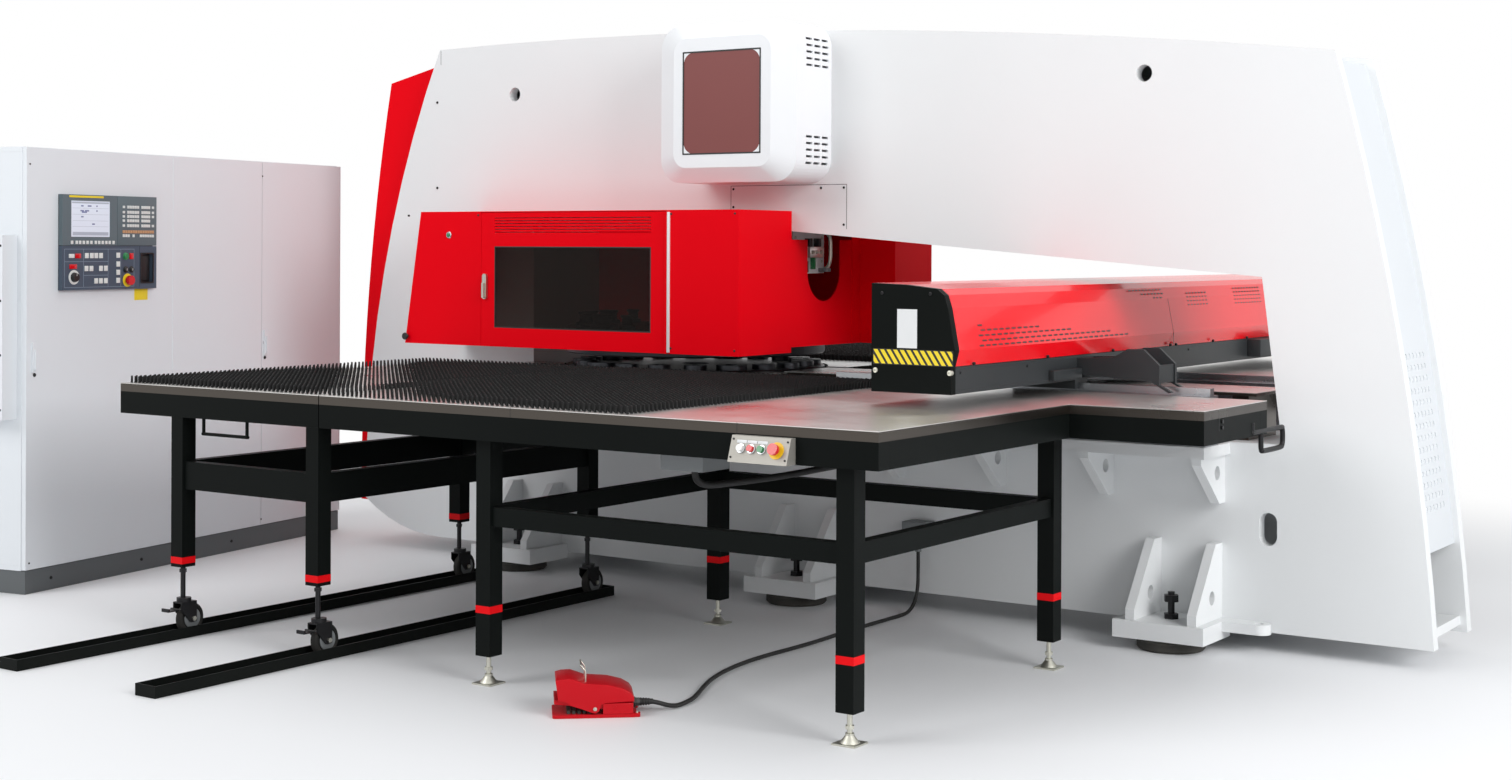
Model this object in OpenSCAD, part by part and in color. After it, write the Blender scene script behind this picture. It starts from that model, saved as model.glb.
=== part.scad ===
// Turret punch press: a closed frame of two side plates with a rotary tool turret in its throat,
// a crossbeam with sheet clamps, brush tables, a foot switch and a control cabinet.
// The datum is the punching point on the floor: X runs along the frame to its rear, Y across the
// frame and Z up. place() then moves the whole machine so that its footprint is centred.

/* [Frame] */
// Width over the two side plates
frame_w = 460; // [420:5:520]
// Thickness of a side plate
plate_t = 50; // [40:1:60]
// Height of the frame's lower edge above the floor
frame_base_z = 70; // [62:1:80]
// Height of the frame at its front top corner
front_top_z = 2308; // [2250:1:2400]
// Height of the frame at its rear top corner
rear_top_z = 2096; // [2000:1:2150]
// Distance from the punching point to the front top corner
front_top_reach = 1773; // [1700:1:1800]
// Distance from the punching point to the foot of the front edge
front_reach = 2236; // [2200:1:2260]
// Distance from the punching point to the rear top corner
rear_top_reach = 2394; // [2340:1:2450]
// Distance from the punching point to the rear bottom corner
rear_reach = 2739; // [2650:1:2800]
// Thickness of the webs between the side plates
web_t = 30; // [20:1:40]
// Distance of the outer web from the plates' edges
web_inset = 25; // [15:1:40]
// Radius of the two lifting holes
lift_hole_r = 31; // [20:0.5:40]

/* [Throat] */
// Distance from the punching point to the front wall of the throat
throat_front = 1200; // [1150:1:1240]
// Distance from the punching point to the rear wall at the roof
throat_rear = 2139; // [2100:1:2180]
// Height of the throat's floor
throat_floor_z = 728; // [700:1:735]
// Height of the throat's roof over the turret
throat_roof_z = 1480; // [1440:1:1500]
// Height of the throat's roof at its rear end
throat_roof_rear_z = 1313; // [1300:1:1340]

/* [Feet of the frame] */
// Length of a foot bracket along the frame
foot_l = 337; // [300:1:360]
// How far a foot bracket stands out from the side plate
foot_out = 251; // [230:1:270]
// Thickness of a foot bracket's base plate
foot_plate_t = 62; // [40:1:62]
// Thickness of the rubber pads under the feet
pad_t = 43; // [30:1:45]
// Radius of a rubber pad
pad_r = 120; // [100:1:122]
// Radius of the hole in an anchor ear
anchor_r = 16; // [10:0.5:20]

/* [Turret] */
// Radius of the turret discs
turret_r = 560; // [520:1:580]
// Radius of the circle on which the tools stand
tool_circle_r = 480; // [440:1:490]
// Number of tool stations
station_count = 20; // [12:2:24]
// Radius of the small punch holders
small_tool_r = 28; // [20:1:30]
// Radius of the large punch holders
large_tool_r = 44; // [36:1:48]
// Height of the sheet above the floor
pass_z = 925; // [923:0.5:930]
// Gap between the sheet and the upper disc
throat_gap = 32; // [25:1:36]
// Thickness of the upper disc
upper_disc_t = 110; // [90:1:130]
// Thickness of the lower disc
lower_disc_t = 120; // [90:1:130]
// Radius of the spindles that carry the discs
spindle_r = 60; // [50:1:70]
// Radial running clearance of every shaft in its bore
running_gap = 0.08; // [0.05:0.01:0.1]
// Radius of the striker
striker_r = 45; // [35:1:50]
// Stroke of the striker
striker_stroke = 38; // [30:1:40]

/* [Guards] */
// How far the guard stands out from the side plate
guard_out = 378; // [370:1:400]
// Height of the guard's lower edge
guard_low_z = 981; // [975:1:990]
// Height of the guard's upper edge
guard_top_z = 1556; // [1500:1:1600]
// Thickness of the guard's sheet metal
sheet_t = 4; // [3:0.5:5]
// Distance from the punching point to the side wall of the near guard
guard_side = 167; // [140:1:200]
// Distance from the punching point to the side wall of the far guard
far_guard_side = 345; // [320:1:360]
// Distance from the punching point to the left end of the guards
guard_left = 1618; // [1560:1:1650]
// Width of the hinged door in the guard
door_w = 997; // [900:1:1050]
// Thickness of the hinged door
door_t = 20; // [14:1:24]

/* [Tables] */
// Height of the table tops
table_z = 900; // [896:1:902]
// Thickness of the table tops' folded rim
rim_h = 31; // [25:1:35]
// Thickness of the table tops' skin
skin_t = 5; // [3:0.5:6]
// Height of the beams under the tops
beam_h = 80; // [60:1:90]
// Width of the beams and posts
tube_w = 60; // [50:1:60]
// Distance from the frame's middle to the tables' outer edges
table_out = 2252; // [2200:1:2300]
// Right edge of the near table
table_right = 1787; // [1750:1:1800]
// Left edge of the roll-out table
table_left = 1457; // [1400:1:1500]
// Place of the joint between the roll-out table and the fixed one
seam_x = -422; // [-440:1:-400]
// Right edge of the table's side section
side_right = 2250; // [2200:1:2280]
// Where the side section starts, from the frame's middle
side_out = 1036; // [1000:1:1060]
// Right edge of the brush field
brush_right = 900; // [850:1:950]
// Height of the brush tips above the table top
brush_h = 22; // [10:1:22]
// Distance between rows of brushes
brush_pitch = 40; // [30:1:60]

/* [Roll-out table] */
// Radius of a caster wheel
wheel_r = 55; // [45:1:60]
// Width of a caster wheel
wheel_w = 32; // [25:1:36]
// Width of a floor channel
channel_w = 95; // [85:1:110]
// Height of a floor channel's sides
channel_h = 38; // [25:1:45]
// Wall of a floor channel
channel_t = 5; // [3:0.5:6]
// Outer end of the floor channels, from the frame's middle
channel_out = 2949; // [2850:1:3000]

/* [Crossbeam] */
// Place of the crossbeam's left face
beam_x = 1250; // [1240:1:1300]
// Width of the crossbeam
beam_w = 310; // [280:1:330]
// Height of the crossbeam over its underside
beam_cover_h = 354; // [320:1:380]
// Height of the crossbeam's underside
beam_z = 940; // [936:1:950]
// Near end of the crossbeam, from the frame's middle
beam_near = 1400; // [1350:1:1450]
// Far end of the crossbeam, from the frame's middle
beam_far = 2050; // [1900:1:2100]
// Distance between the sheet clamps
clamp_pitch = 300; // [250:1:350]

/* [Foot switch] */
// Length of the foot switch
pedal_l = 256; // [230:1:280]
// Width of the foot switch
pedal_w = 150; // [130:1:170]
// Height of its hood
pedal_h = 120; // [100:1:140]
// Radius of its cord
cord_r = 7; // [5:0.5:8]

/* [Control cabinet] */
// Length of the cabinet
cabinet_l = 2097; // [2000:1:2150]
// Depth of the cabinet
cabinet_d = 600; // [500:1:700]
// Height of the cabinet
cabinet_h = 1800; // [1750:1:1900]
// Height of its plinth
plinth_h = 94; // [80:1:110]
// Thickness of its walls
cabinet_t = 20; // [10:1:30]
// Angle at which it stands to the frame
cabinet_turn = 9.97; // [6:0.01:11]

/* [Hidden] */
// Space left between pieces of different bodies
fit = 0.3;
// Overlap of a cutting tool past the face that it cuts
eps = 1;
half_w = frame_w / 2;
inner_w = half_w - plate_t;
guard_y = half_w + guard_out;
// Bulges of the frame's four curved edges
rear_bulge = 50;
top_bulge = 79;
front_bulge = 120;
heel_bulge = 40;
// The heel is the rounded lower front corner
heel_z = 218;
heel_run = 476;
// The cabinet's near corner, and the frame's own overall limits
cabinet_x = -2318;
cabinet_y = -2038;
x_low = cabinet_x - cabinet_l * sin(cabinet_turn) - cabinet_d * cos(cabinet_turn);
x_mid = (x_low + rear_reach) / 2;
y_mid = (table_out - channel_out) / 2;
red = [0.80, 0.03, 0.04];
white = [0.90, 0.91, 0.92];
black = [0.06, 0.06, 0.065];
steel = [0.62, 0.63, 0.64];

module place() {
    translate([-x_mid, -y_mid, 0]) children();
}

// A box between two planes on each axis
module block(x, y, z) {
    translate([x[0], y[0], z[0]]) cube([x[1] - x[0], y[1] - y[0], z[1] - z[0]]);
}

// Plates of thickness t along the inside of a box, with hairline joints between them. keep tells
// which are there: low X, high X, low Y, high Y, low Z, high Z
module plates(x, y, z, t, keep) {
    yi = [y[0] + keep[2] * (t + fit), y[1] - keep[3] * (t + fit)];
    zi = [z[0] + keep[4] * (t + fit), z[1] - keep[5] * (t + fit)];
    if (keep[0] > 0) block([x[0], x[0] + t], yi, zi);
    if (keep[1] > 0) block([x[1] - t, x[1]], yi, zi);
    if (keep[2] > 0) block(x, [y[0], y[0] + t], zi);
    if (keep[3] > 0) block(x, [y[1] - t, y[1]], zi);
    if (keep[4] > 0) block(x, y, [z[0], z[0] + t]);
    if (keep[5] > 0) block(x, y, [z[1] - t, z[1]]);
}
// Four straight members of width w inside a rectangle
module rect_members(x, y, w, z) {
    for (s = [y[0], y[1] - w]) block(x, [s, s + w], z);
    for (s = [x[0], x[1] - w]) block([s, s + w], [y[0] + w + fit, y[1] - w - fit], z);
}

// A rod along Z, X or Y
module rod_z(r, z, p = [0, 0], n = 48) {
    translate([p[0], p[1], z[0]]) cylinder(r = r, h = z[1] - z[0], $fn = n);
}
module rod_x(r, x, p, n = 48) {
    translate([x[0], p[0], p[1]]) rotate([0, 90, 0]) cylinder(r = r, h = x[1] - x[0], $fn = n);
}
module rod_y(r, y, p, n = 48) {
    translate([p[0], y[0], p[1]]) rotate([-90, 0, 0]) cylinder(r = r, h = y[1] - y[0], $fn = n);
}

// A shape drawn in X and Z, given a thickness along Y
module slab_y(y) {
    translate([0, y[1], 0]) rotate([90, 0, 0]) linear_extrude(y[1] - y[0]) children();
}
// A shape drawn in Y and Z, given a thickness along X
module slab_x(x) {
    translate([x[0], 0, 0]) rotate([90, 0, 90]) linear_extrude(x[1] - x[0]) children();
}

// A rectangle with round corners
module round_rect(w, h, r) {
    square([w - 2 * r, h], center = true);
    square([w, h - 2 * r], center = true);
    for (i = [-1, 1], j = [-1, 1]) translate([i * (w / 2 - r), j * (h / 2 - r)]) circle(r, $fn = 32);
}

// Points of an arc from a to b that bulges to the right of the way by s, without its last point
function arc(a, b, s, n = 10) =
    let (d = b - a, c = norm(d), r = (c * c / 4 + s * s) / (2 * s),
        side = [d[1], -d[0]] / c, o = (a + b) / 2 - side * (r - s),
        t = atan2(a[1] - o[1], a[0] - o[0]), sweep = 2 * asin(c / (2 * r)))
    [for (i = [0:n - 1]) o + r * [cos(t + sweep * i / n), sin(t + sweep * i / n)]];

// The frame's outline in X and Z, drawn in by d all round
function frame_outline(d = 0) = concat(
    arc([rear_reach - d, frame_base_z + d], [rear_top_reach - d, rear_top_z - d], rear_bulge),
    arc([rear_top_reach - d, rear_top_z - d], [-front_top_reach + d, front_top_z - d], top_bulge),
    arc([-front_top_reach + d, front_top_z - d], [-front_reach + d, heel_z + d], front_bulge),
    arc([-front_reach + d, heel_z + d], [-front_reach + heel_run, frame_base_z + d], heel_bulge, 6),
    [[-front_reach + heel_run, frame_base_z + d]]);

// The throat's outline in X and Z, widened by d
roof_bend_x = 100;
rear_slope = 75;
function throat_outline(d = 0) = [
    [-throat_front - d, throat_floor_z - d], [throat_rear + rear_slope + d, throat_floor_z - d],
    [throat_rear + d, throat_roof_rear_z + d], [roof_bend_x, throat_roof_z + d],
    [-throat_front - d, throat_roof_z + d]];

lift_holes = [[-1317, 2086], [1693, 2047]];
slot_x = 2166;
slot_z = 430;
slot_r = 32;
slot_half = 26;

module side_plate(y) {
    color(white) place() difference() {
        slab_y(y) difference() {
            polygon(frame_outline());
            polygon(throat_outline());
            translate([slot_x - slot_r, slot_z - slot_half]) square([2 * slot_r, 2 * slot_half]);
            for (i = [-1, 1]) translate([slot_x, slot_z + i * slot_half]) circle(slot_r, $fn = 48);
        }
        for (p = lift_holes) rod_y(lift_hole_r, [y[0] - eps, y[1] + eps], p);
    }
}
module near_side_plate() {
    side_plate([-half_w, -inner_w]);
}
module far_side_plate() {
    side_plate([inner_w, half_w]);
}

// Webs: an outer band, the throat's lining and the block that guides the striker
guide_w = 220;
guide_d = 240;
guide_h = 180;
outlet_z = 380;
band_low = frame_base_z + web_inset;
module frame_webs() {
    color(white) place() {
        difference() {
            slab_y([-inner_w, inner_w]) difference() {
                polygon(frame_outline(web_inset));
                polygon(frame_outline(web_inset + web_t));
            }
            block([rear_top_reach, rear_reach], [-inner_w - eps, inner_w + eps],
                [band_low + web_t + eps, outlet_z]);
        }
        difference() {
            union() {
                slab_y([-inner_w, inner_w]) difference() {
                    polygon(throat_outline(web_t));
                    polygon(throat_outline());
                }
                block([-guide_w / 2, roof_bend_x], [-guide_d / 2, guide_d / 2],
                    [throat_roof_z - guide_h, throat_roof_z + web_t]);
            }
            rod_z(striker_r + running_gap, [throat_roof_z - guide_h - eps, throat_roof_z + web_t + eps],
                [0, 0], 64);
        }
    }
}

// Front cover: a folded sheet between the plates that stands out past their edges
nose_out = 80;
nose_top_out = 356;
nose_top_drop = [136, 59];
nose_low_z = 200;
nose_bulge = 50;
nose_lap = 22;
module nose_shape(d) {
    back = arc([-front_top_reach + nose_lap, front_top_z - nose_lap],
        [-front_reach + nose_lap, heel_z + nose_lap], front_bulge, 14);
    meet = [for (p = back) if (p[1] < front_top_z - nose_top_drop[1] - 20) p];
    polygon(concat(
        arc([-front_top_reach - nose_top_out + d, front_top_z - nose_top_drop[0] - d],
            [-front_reach - nose_out + d, nose_low_z + d], nose_bulge, 14),
        [[-front_reach - nose_out + d, nose_low_z + d], [-front_reach + nose_lap, nose_low_z + d]],
        [for (i = [len(meet) - 1:-1:0]) meet[i]],
        [[-front_top_reach - 12, front_top_z - nose_top_drop[1] - d]]));
}
module nose_cover() {
    color(red) place() difference() {
        slab_y([-inner_w + fit, inner_w - fit]) nose_shape(0);
        slab_y([-inner_w + sheet_t, inner_w - sheet_t]) difference() {
            nose_shape(sheet_t);
            polygon(frame_outline(nose_lap - sheet_t));
        }
    }
}

// Rear cover: a bent sheet on the outer band, with a perforated vent
vent_z = [524, 1080];
vent_y = [-110, 110];
vent_pitch = 40;
vent_hole_r = 11;
module rear_cover() {
    color(white) place() difference() {
        slab_y([-inner_w + fit, inner_w - fit]) intersection() {
            difference() {
                polygon(frame_outline(web_inset - sheet_t));
                polygon(frame_outline(web_inset));
            }
            translate([rear_top_reach - 60, outlet_z]) square([rear_reach, front_top_z]);
        }
        for (z = [vent_z[0]:vent_pitch:vent_z[1]], y = [vent_y[0]:vent_pitch:vent_y[1]])
            rod_x(vent_hole_r, [rear_top_reach - 60, rear_reach + rear_bulge], [y + 0.25 * vent_pitch, z], 6);
    }
}

// Motor housing: a moulded hood on the near plate, over the drive of the striker
hood_x = [-302, 354];
hood_z = [1667, 2303];
hood_out = 300;
hood_bevel = 92;
hood_bevel_z = 59;
hood_bevel_out = 42;
hood_wall = 8;
hood_r = 95;
hood_y = -half_w - hood_out;
module hood_solid(d) {
    hull() {
        for (x = [hood_x[0] + hood_r, hood_x[1] - hood_r], z = [hood_z[0] + hood_r, hood_z[1] - hood_r])
            rod_y(hood_r - d, [hood_y + hood_bevel_out + d * 0.7, -half_w], [x, z], 40);
        for (x = [hood_x[0] + hood_bevel + 60, hood_x[1] - hood_bevel - 60],
            z = [hood_z[0] + hood_bevel_z + 60, hood_z[1] - hood_bevel_z - 60])
            rod_y(60 - d * 0.4, [hood_y + d, hood_y + d + 2], [x, z], 40);
    }
}
window_w = 372;
window_h = 407;
window_t = 5;
window_x = (hood_x[0] + hood_x[1]) / 2;
window_z = (hood_z[0] + hood_z[1]) / 2;
hood_slot_pitch = 26;
module motor_housing() {
    color(white) place() difference() {
        hood_solid(0);
        difference() {
            hood_solid(hood_wall);
            block([hood_x[0], hood_x[1]], [hood_y - eps, hood_y + hood_wall + window_t],
                [hood_z[0], hood_z[1]]);
        }
        translate([window_x, 0, window_z]) slab_y([hood_y - eps, hood_y + window_t])
            round_rect(window_w, window_h, 50);
        for (z0 = [hood_z[0] + 70, hood_z[1] - 180], i = [0:4], j = [0:2])
            block([hood_x[1] - 40, hood_x[1] + eps],
                [-half_w - 185 + j * 58, -half_w - 140 + j * 58],
                [z0 + i * hood_slot_pitch, z0 + 9 + i * hood_slot_pitch]);
    }
}
module motor_window() {
    color([0.32, 0.07, 0.06]) place() translate([window_x, 0, window_z])
        slab_y([hood_y + 0.5, hood_y + window_t - fit])
            round_rect(window_w - 2 * fit, window_h - 2 * fit, 50 - fit);
}

// Ledges on both plates carry the crossbeam's guides on drilled gussets
ledge_x = [500, 2025];
ledge_out = 243;
ledge_z = [685, 726];
ledge_gussets = [690, 1128, 1566, 1990];
gusset_t = 34;
gusset_drop = 172;
gusset_hole_r = 25;
module ledge_side() {
    block(ledge_x, [-half_w - ledge_out, -half_w], ledge_z);
    for (x = ledge_gussets) difference() {
        slab_x([x - gusset_t / 2, x + gusset_t / 2]) polygon([
            [-half_w, ledge_z[0] - fit], [-half_w - ledge_out + 20, ledge_z[0] - fit],
            [-half_w - ledge_out + 20, ledge_z[0] - 24], [-half_w - 50, ledge_z[0] - gusset_drop],
            [-half_w, ledge_z[0] - gusset_drop]]);
        rod_x(gusset_hole_r, [x - gusset_t, x + gusset_t], [-half_w - 72, ledge_z[0] - 62]);
    }
}
module both_sides() {
    children();
    mirror([0, 1, 0]) children();
}
module guide_ledges() {
    color(white) place() both_sides() ledge_side();
}

// Six foot brackets, each with two drilled gussets, a rubber pad and a jack bolt
foot_xs = [-1170, 280, 1860];
foot_top = pad_t + foot_plate_t;
jack_r = 12;
foot_gusset_h = 265;
ear_l = 162;
ear_out = 80;
module foot_bracket(x, ear) {
    difference() {
        block([x - foot_l / 2, x + foot_l / 2], [-half_w - foot_out, -half_w], [pad_t, foot_top]);
        rod_z(jack_r + running_gap, [pad_t - eps, foot_top + eps], [x, -half_w - foot_out / 2]);
    }
    for (g = [x - foot_l * 0.32, x + foot_l * 0.36]) difference() {
        slab_x([g - gusset_t / 2, g + gusset_t / 2]) polygon([[-half_w, foot_top + fit],
            [-half_w - foot_out + 12, foot_top + fit], [-half_w - foot_out + 12, foot_top + 36],
            [-half_w - 62, foot_top + foot_gusset_h], [-half_w, foot_top + foot_gusset_h]]);
        rod_x(gusset_hole_r, [g - gusset_t, g + gusset_t], [-half_w - 95, foot_top + 80]);
    }
    if (ear) difference() {
        union() {
            block([x + foot_l / 2 + fit, x + foot_l / 2 + ear_l - ear_out / 2],
                [-half_w - ear_out, -half_w], [frame_base_z, foot_top]);
            rod_z(ear_out / 2, [frame_base_z, foot_top],
                [x + foot_l / 2 + ear_l - ear_out / 2, -half_w - ear_out / 2]);
        }
        rod_z(anchor_r, [frame_base_z - eps, foot_top + eps],
            [x + foot_l / 2 + ear_l - ear_out / 2, -half_w - ear_out / 2]);
    }
}
module foot_brackets() {
    color(white) place() both_sides() for (x = foot_xs) foot_bracket(x, x > 1000);
}
module foot_pads() {
    color(black) place() both_sides() for (x = foot_xs) translate([x, -half_w - foot_out / 2])
        rotate_extrude($fn = 64) polygon([[0, 0], [pad_r - 8, 0], [pad_r, 8], [pad_r, pad_t - 12],
            [pad_r - 10, pad_t], [0, pad_t]]);
}
jack_rise = 95;
jack_nut_r = 27;
module jack_bolts() {
    color(black) place() both_sides() for (x = foot_xs) translate([x, -half_w - foot_out / 2, 0]) {
        rod_z(jack_r, [pad_t, foot_top + jack_rise], [0, 0], 32);
        rod_z(jack_nut_r, [foot_top, foot_top + 18], [0, 0], 6);
        rod_z(jack_nut_r, [foot_top + jack_rise - 35, foot_top + jack_rise - 11], [0, 0], 6);
    }
}

// Near guard: folded sheet round the turret, with a side wall that runs through the throat
guard_taper = 93;
guard_wall_far = 295;
guard_wall_low = 1003;
cut_y = [-111, 141];
cut_low = 1186;
door_right = -177;
function guard_face(d) = [[-guard_left + d, guard_low_z], [guard_side - d, guard_low_z],
    [guard_side - d, guard_top_z - d], [-guard_left + guard_taper + d, guard_top_z - d]];
module turret_guard() {
    color(red) place() {
        difference() {
            slab_y([-guard_y, -half_w - fit]) polygon(guard_face(0));
            slab_y([-guard_y + sheet_t, -half_w + eps]) polygon(guard_face(sheet_t));
            block([-guard_left, guard_side - sheet_t], [-guard_y + 40, -half_w],
                [guard_low_z - eps, guard_low_z + sheet_t]);
            block([door_right - door_w, door_right], [-guard_y - eps, -guard_y + door_t + 2],
                [guard_low_z - eps, guard_top_z - sheet_t]);
        }
        difference() {
            block([guard_side - sheet_t, guard_side], [-half_w - fit, guard_wall_far],
                [guard_wall_low, throat_roof_z - 40]);
            hull() {
                rod_x((cut_y[1] - cut_y[0]) / 2, [guard_side - 10, guard_side + 10],
                    [(cut_y[0] + cut_y[1]) / 2, cut_low + (cut_y[1] - cut_y[0]) / 2]);
                block([guard_side - 10, guard_side + 10], cut_y, [throat_roof_z, throat_roof_z + eps]);
            }
        }
    }
}
// Far guard: a hood of plates on the far side, which also closes the near guard's side wall
far_split = guard_side + fit + sheet_t;
module far_guard() {
    far_z = [guard_wall_low, guard_top_z];
    color(red) place() {
        plates([-guard_left, far_split], [half_w + fit, guard_y], far_z, sheet_t, [1, 0, 0, 1, 0, 1]);
        plates([far_split + fit, far_guard_side], [guard_wall_far, guard_y], far_z, sheet_t,
            [0, 1, 1, 1, 0, 1]);
        block([far_split - sheet_t, far_split], [half_w + fit, guard_wall_far + sheet_t],
            [guard_wall_low, guard_top_z - sheet_t - fit]);
    }
}

// The guard's door is a shallow pan with a window, hinged at its right edge
door_x = [door_right - door_w + 2, door_right - 2];
door_z = [guard_low_z, guard_top_z - sheet_t - 2];
hinge_r = 6;
latch_r = 7;
latch_x = door_x[0] + 26;
latch_z = 1236;
pane_x = [-1097, -262];
pane_z = [1062, 1407];
module guard_door() {
    color(red) place() {
        difference() {
            block(door_x, [-guard_y, -guard_y + door_t], door_z);
            block([door_x[0] + sheet_t, door_x[1] - sheet_t], [-guard_y + sheet_t, -guard_y + door_t + eps],
                [door_z[0] + sheet_t, door_z[1] - sheet_t]);
            block(pane_x, [-guard_y - eps, -guard_y + door_t], pane_z);
            rod_y(latch_r + running_gap, [-guard_y - eps, -guard_y + door_t], [latch_x, latch_z], 32);
            for (i = [0:5]) block([pane_x[0], pane_x[1]], [-guard_y - eps, -guard_y + sheet_t + eps],
                [door_z[1] - 84 + i * 12, door_z[1] - 81 + i * 12]);
        }
        rod_z(hinge_r, [door_z[0], door_z[1]], [door_x[1] - 4, -guard_y - 2], 24);
    }
}
module door_glass() {
    color([0.12, 0.13, 0.14, 0.75]) place()
        block([pane_x[0] - 12, pane_x[1] + 12], [-guard_y + sheet_t, -guard_y + sheet_t + 5],
            [pane_z[0] - 12, pane_z[1] + 12]);
}
module door_latch() {
    color(steel) place() {
        rod_y(latch_r, [-guard_y - 6, -guard_y + door_t - 8], [latch_x, latch_z], 32);
        slab_y([-guard_y - 12, -guard_y - fit]) translate([latch_x, latch_z]) round_rect(22, 108, 10);
        slab_y([-guard_y - 22, -guard_y - 12]) translate([latch_x, latch_z - 16]) round_rect(12, 66, 5);
    }
}

// The two discs turn together on fixed spindles
disc_x = -tool_circle_r;
upper_z = pass_z + throat_gap;
upper_top = upper_z + upper_disc_t;
die_h = 20;
lower_top = pass_z - die_h;
lower_z = lower_top - lower_disc_t;
boss_r = 150;
module turret_spindles() {
    color(steel) place() translate([disc_x, 0, 0]) {
        rod_z(boss_r, [upper_top + fit, throat_roof_z], [0, 0], 64);
        rod_z(spindle_r - running_gap, [upper_z + 10, upper_top + fit], [0, 0], 64);
        rod_z(boss_r, [throat_floor_z, lower_z - fit], [0, 0], 64);
        rod_z(spindle_r - running_gap, [lower_z - fit, lower_top - 20], [0, 0], 64);
    }
}
function station(i) = disc_x * [1, 0]
    + tool_circle_r * [cos(360 * i / station_count), sin(360 * i / station_count)];
function tool_r(i) = i % 4 == 2 ? large_tool_r : small_tool_r;
module upper_turret() {
    color([0.35, 0.36, 0.38]) place() difference() {
        translate([disc_x, 0, 0]) rotate_extrude($fn = 96) polygon([[spindle_r, upper_z + 6],
            [turret_r - 130, upper_z], [turret_r - 6, upper_z], [turret_r, upper_z + 6],
            [turret_r, upper_top - 6], [turret_r - 6, upper_top], [spindle_r, upper_top]]);
        for (i = [0:station_count - 1])
            rod_z(tool_r(i) + running_gap, [upper_z - eps, upper_top + eps], station(i), 32);
    }
}
module lower_turret() {
    color([0.35, 0.36, 0.38]) place() difference() {
        union() {
            translate([disc_x, 0, 0]) rotate_extrude($fn = 96) polygon([[spindle_r, lower_z],
                [turret_r - 6, lower_z], [turret_r, lower_z + 6], [turret_r, lower_top - 6],
                [turret_r - 6, lower_top], [spindle_r, lower_top]]);
            for (i = [0:station_count - 1]) rod_z(tool_r(i) + 20, [lower_top - eps, pass_z], station(i), 32);
        }
        for (i = [0:station_count - 1]) rod_z(tool_r(i) * 0.6, [lower_z - eps, pass_z + eps], station(i), 32);
    }
}
tool_head_h = 58;
module punch_tools() {
    color([0.18, 0.19, 0.20]) place() for (i = [0:station_count - 1])
        translate([station(i)[0], station(i)[1], 0]) rotate_extrude($fn = 32) polygon([
            [0, upper_z + 8], [tool_r(i) - 2, upper_z + 8], [tool_r(i), upper_z + 12], [tool_r(i), upper_top],
            [tool_r(i) + 8, upper_top], [tool_r(i) + 8, upper_top + 14], [tool_r(i) - 6, upper_top + 18],
            [tool_r(i) - 6, upper_top + tool_head_h - 12], [tool_r(i), upper_top + tool_head_h - 8],
            [tool_r(i), upper_top + tool_head_h], [0, upper_top + tool_head_h]]);
}
striker_low = upper_top + tool_head_h + striker_stroke + 4;
module striker() {
    color([0.5, 0.51, 0.53]) place() rotate_extrude($fn = 64) polygon([[0, striker_low],
        [56, striker_low], [60, striker_low + 4], [60, striker_low + 30], [striker_r, striker_low + 40],
        [striker_r, throat_roof_z + 240], [0, throat_roof_z + 240]]);
}

// Middle table: plates round the lower disc and along the throat's floor
disc_gap = 15;
fix_notch_x = 150;
fix_back_left = 622;
mid_left = -1180;
mid_right = fix_notch_x - fit;
mid_out = fix_back_left - fit;
rib_w = 30;
module mid_plate() {
    difference() {
        block([mid_left, mid_right], [-mid_out, -half_w - fit], [table_z - 12, table_z]);
        rod_z(turret_r + disc_gap, [table_z - 50, table_z + 50], [disc_x, 0], 96);
    }
    for (x = [mid_left + 20, mid_right - 20 - rib_w]) {
        block([x, x + rib_w], [-mid_out + 60, -half_w - 60 - fit], [table_z - 90, table_z - 12 - fit]);
        block([x, x + rib_w], [-half_w - 60, -half_w], [throat_floor_z - 120, table_z - 12 - fit]);
    }
}
module centre_table() {
    color(steel) place() {
        both_sides() mid_plate();
        block([turret_r + disc_x + disc_gap, throat_rear - 40], [-inner_w + 8, inner_w - 8],
            [table_z - 12, table_z]);
        for (x = [400, 0.58 * throat_rear, throat_rear - 140]) block([x, x + 60],
            [-inner_w + 40, inner_w - 40], [throat_floor_z, table_z - 12 - fit]);
    }
}

// Table frames: square tube, welded
beam_low = table_z - rim_h - beam_h;
stretcher_z = [511, 572];
leg_low = 92;
fix_back = 478;
leg_in = 39;
fix_leg_xs = [290, 1655];
fix_leg_ys = [-table_out + leg_in + tube_w / 2, -909];
fix_left = seam_x + 3;
module post(x, y, z) {
    block([x - tube_w / 2, x + tube_w / 2], [y - tube_w / 2, y + tube_w / 2], z);
}
// Tops and frames follow one outline with eight corners. These are straight members of width w
// inside it, with hairline joints
module outline_members(left, w, z) {
    back = -fix_back_left - w;
    for (m = [[left, table_right, -table_out], [table_right - w, side_right, -side_out],
        [fix_notch_x, side_right, -fix_back - w], [left, fix_notch_x + w, back]])
        block([m[0], m[1]], [m[2], m[2] + w], z);
    for (m = [[left, -table_out + w, back], [table_right - w, -table_out + w, -side_out],
        [side_right - w, -side_out + w, -fix_back - w], [fix_notch_x, back + w, -fix_back - w]])
        block([m[0], m[0] + w], [m[1] + fit, m[2] - fit], z);
}
cross_w = 40;
beam_span = [beam_low, beam_low + beam_h];
module table_ring(left, cross_xs) {
    outline_members(left, tube_w, beam_span);
    for (x = cross_xs) block([x - cross_w / 2, x + cross_w / 2], [-table_out + tube_w + fit,
        (x < fix_notch_x ? -fix_back_left : -fix_back) - tube_w - fit], beam_span);
}
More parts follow.
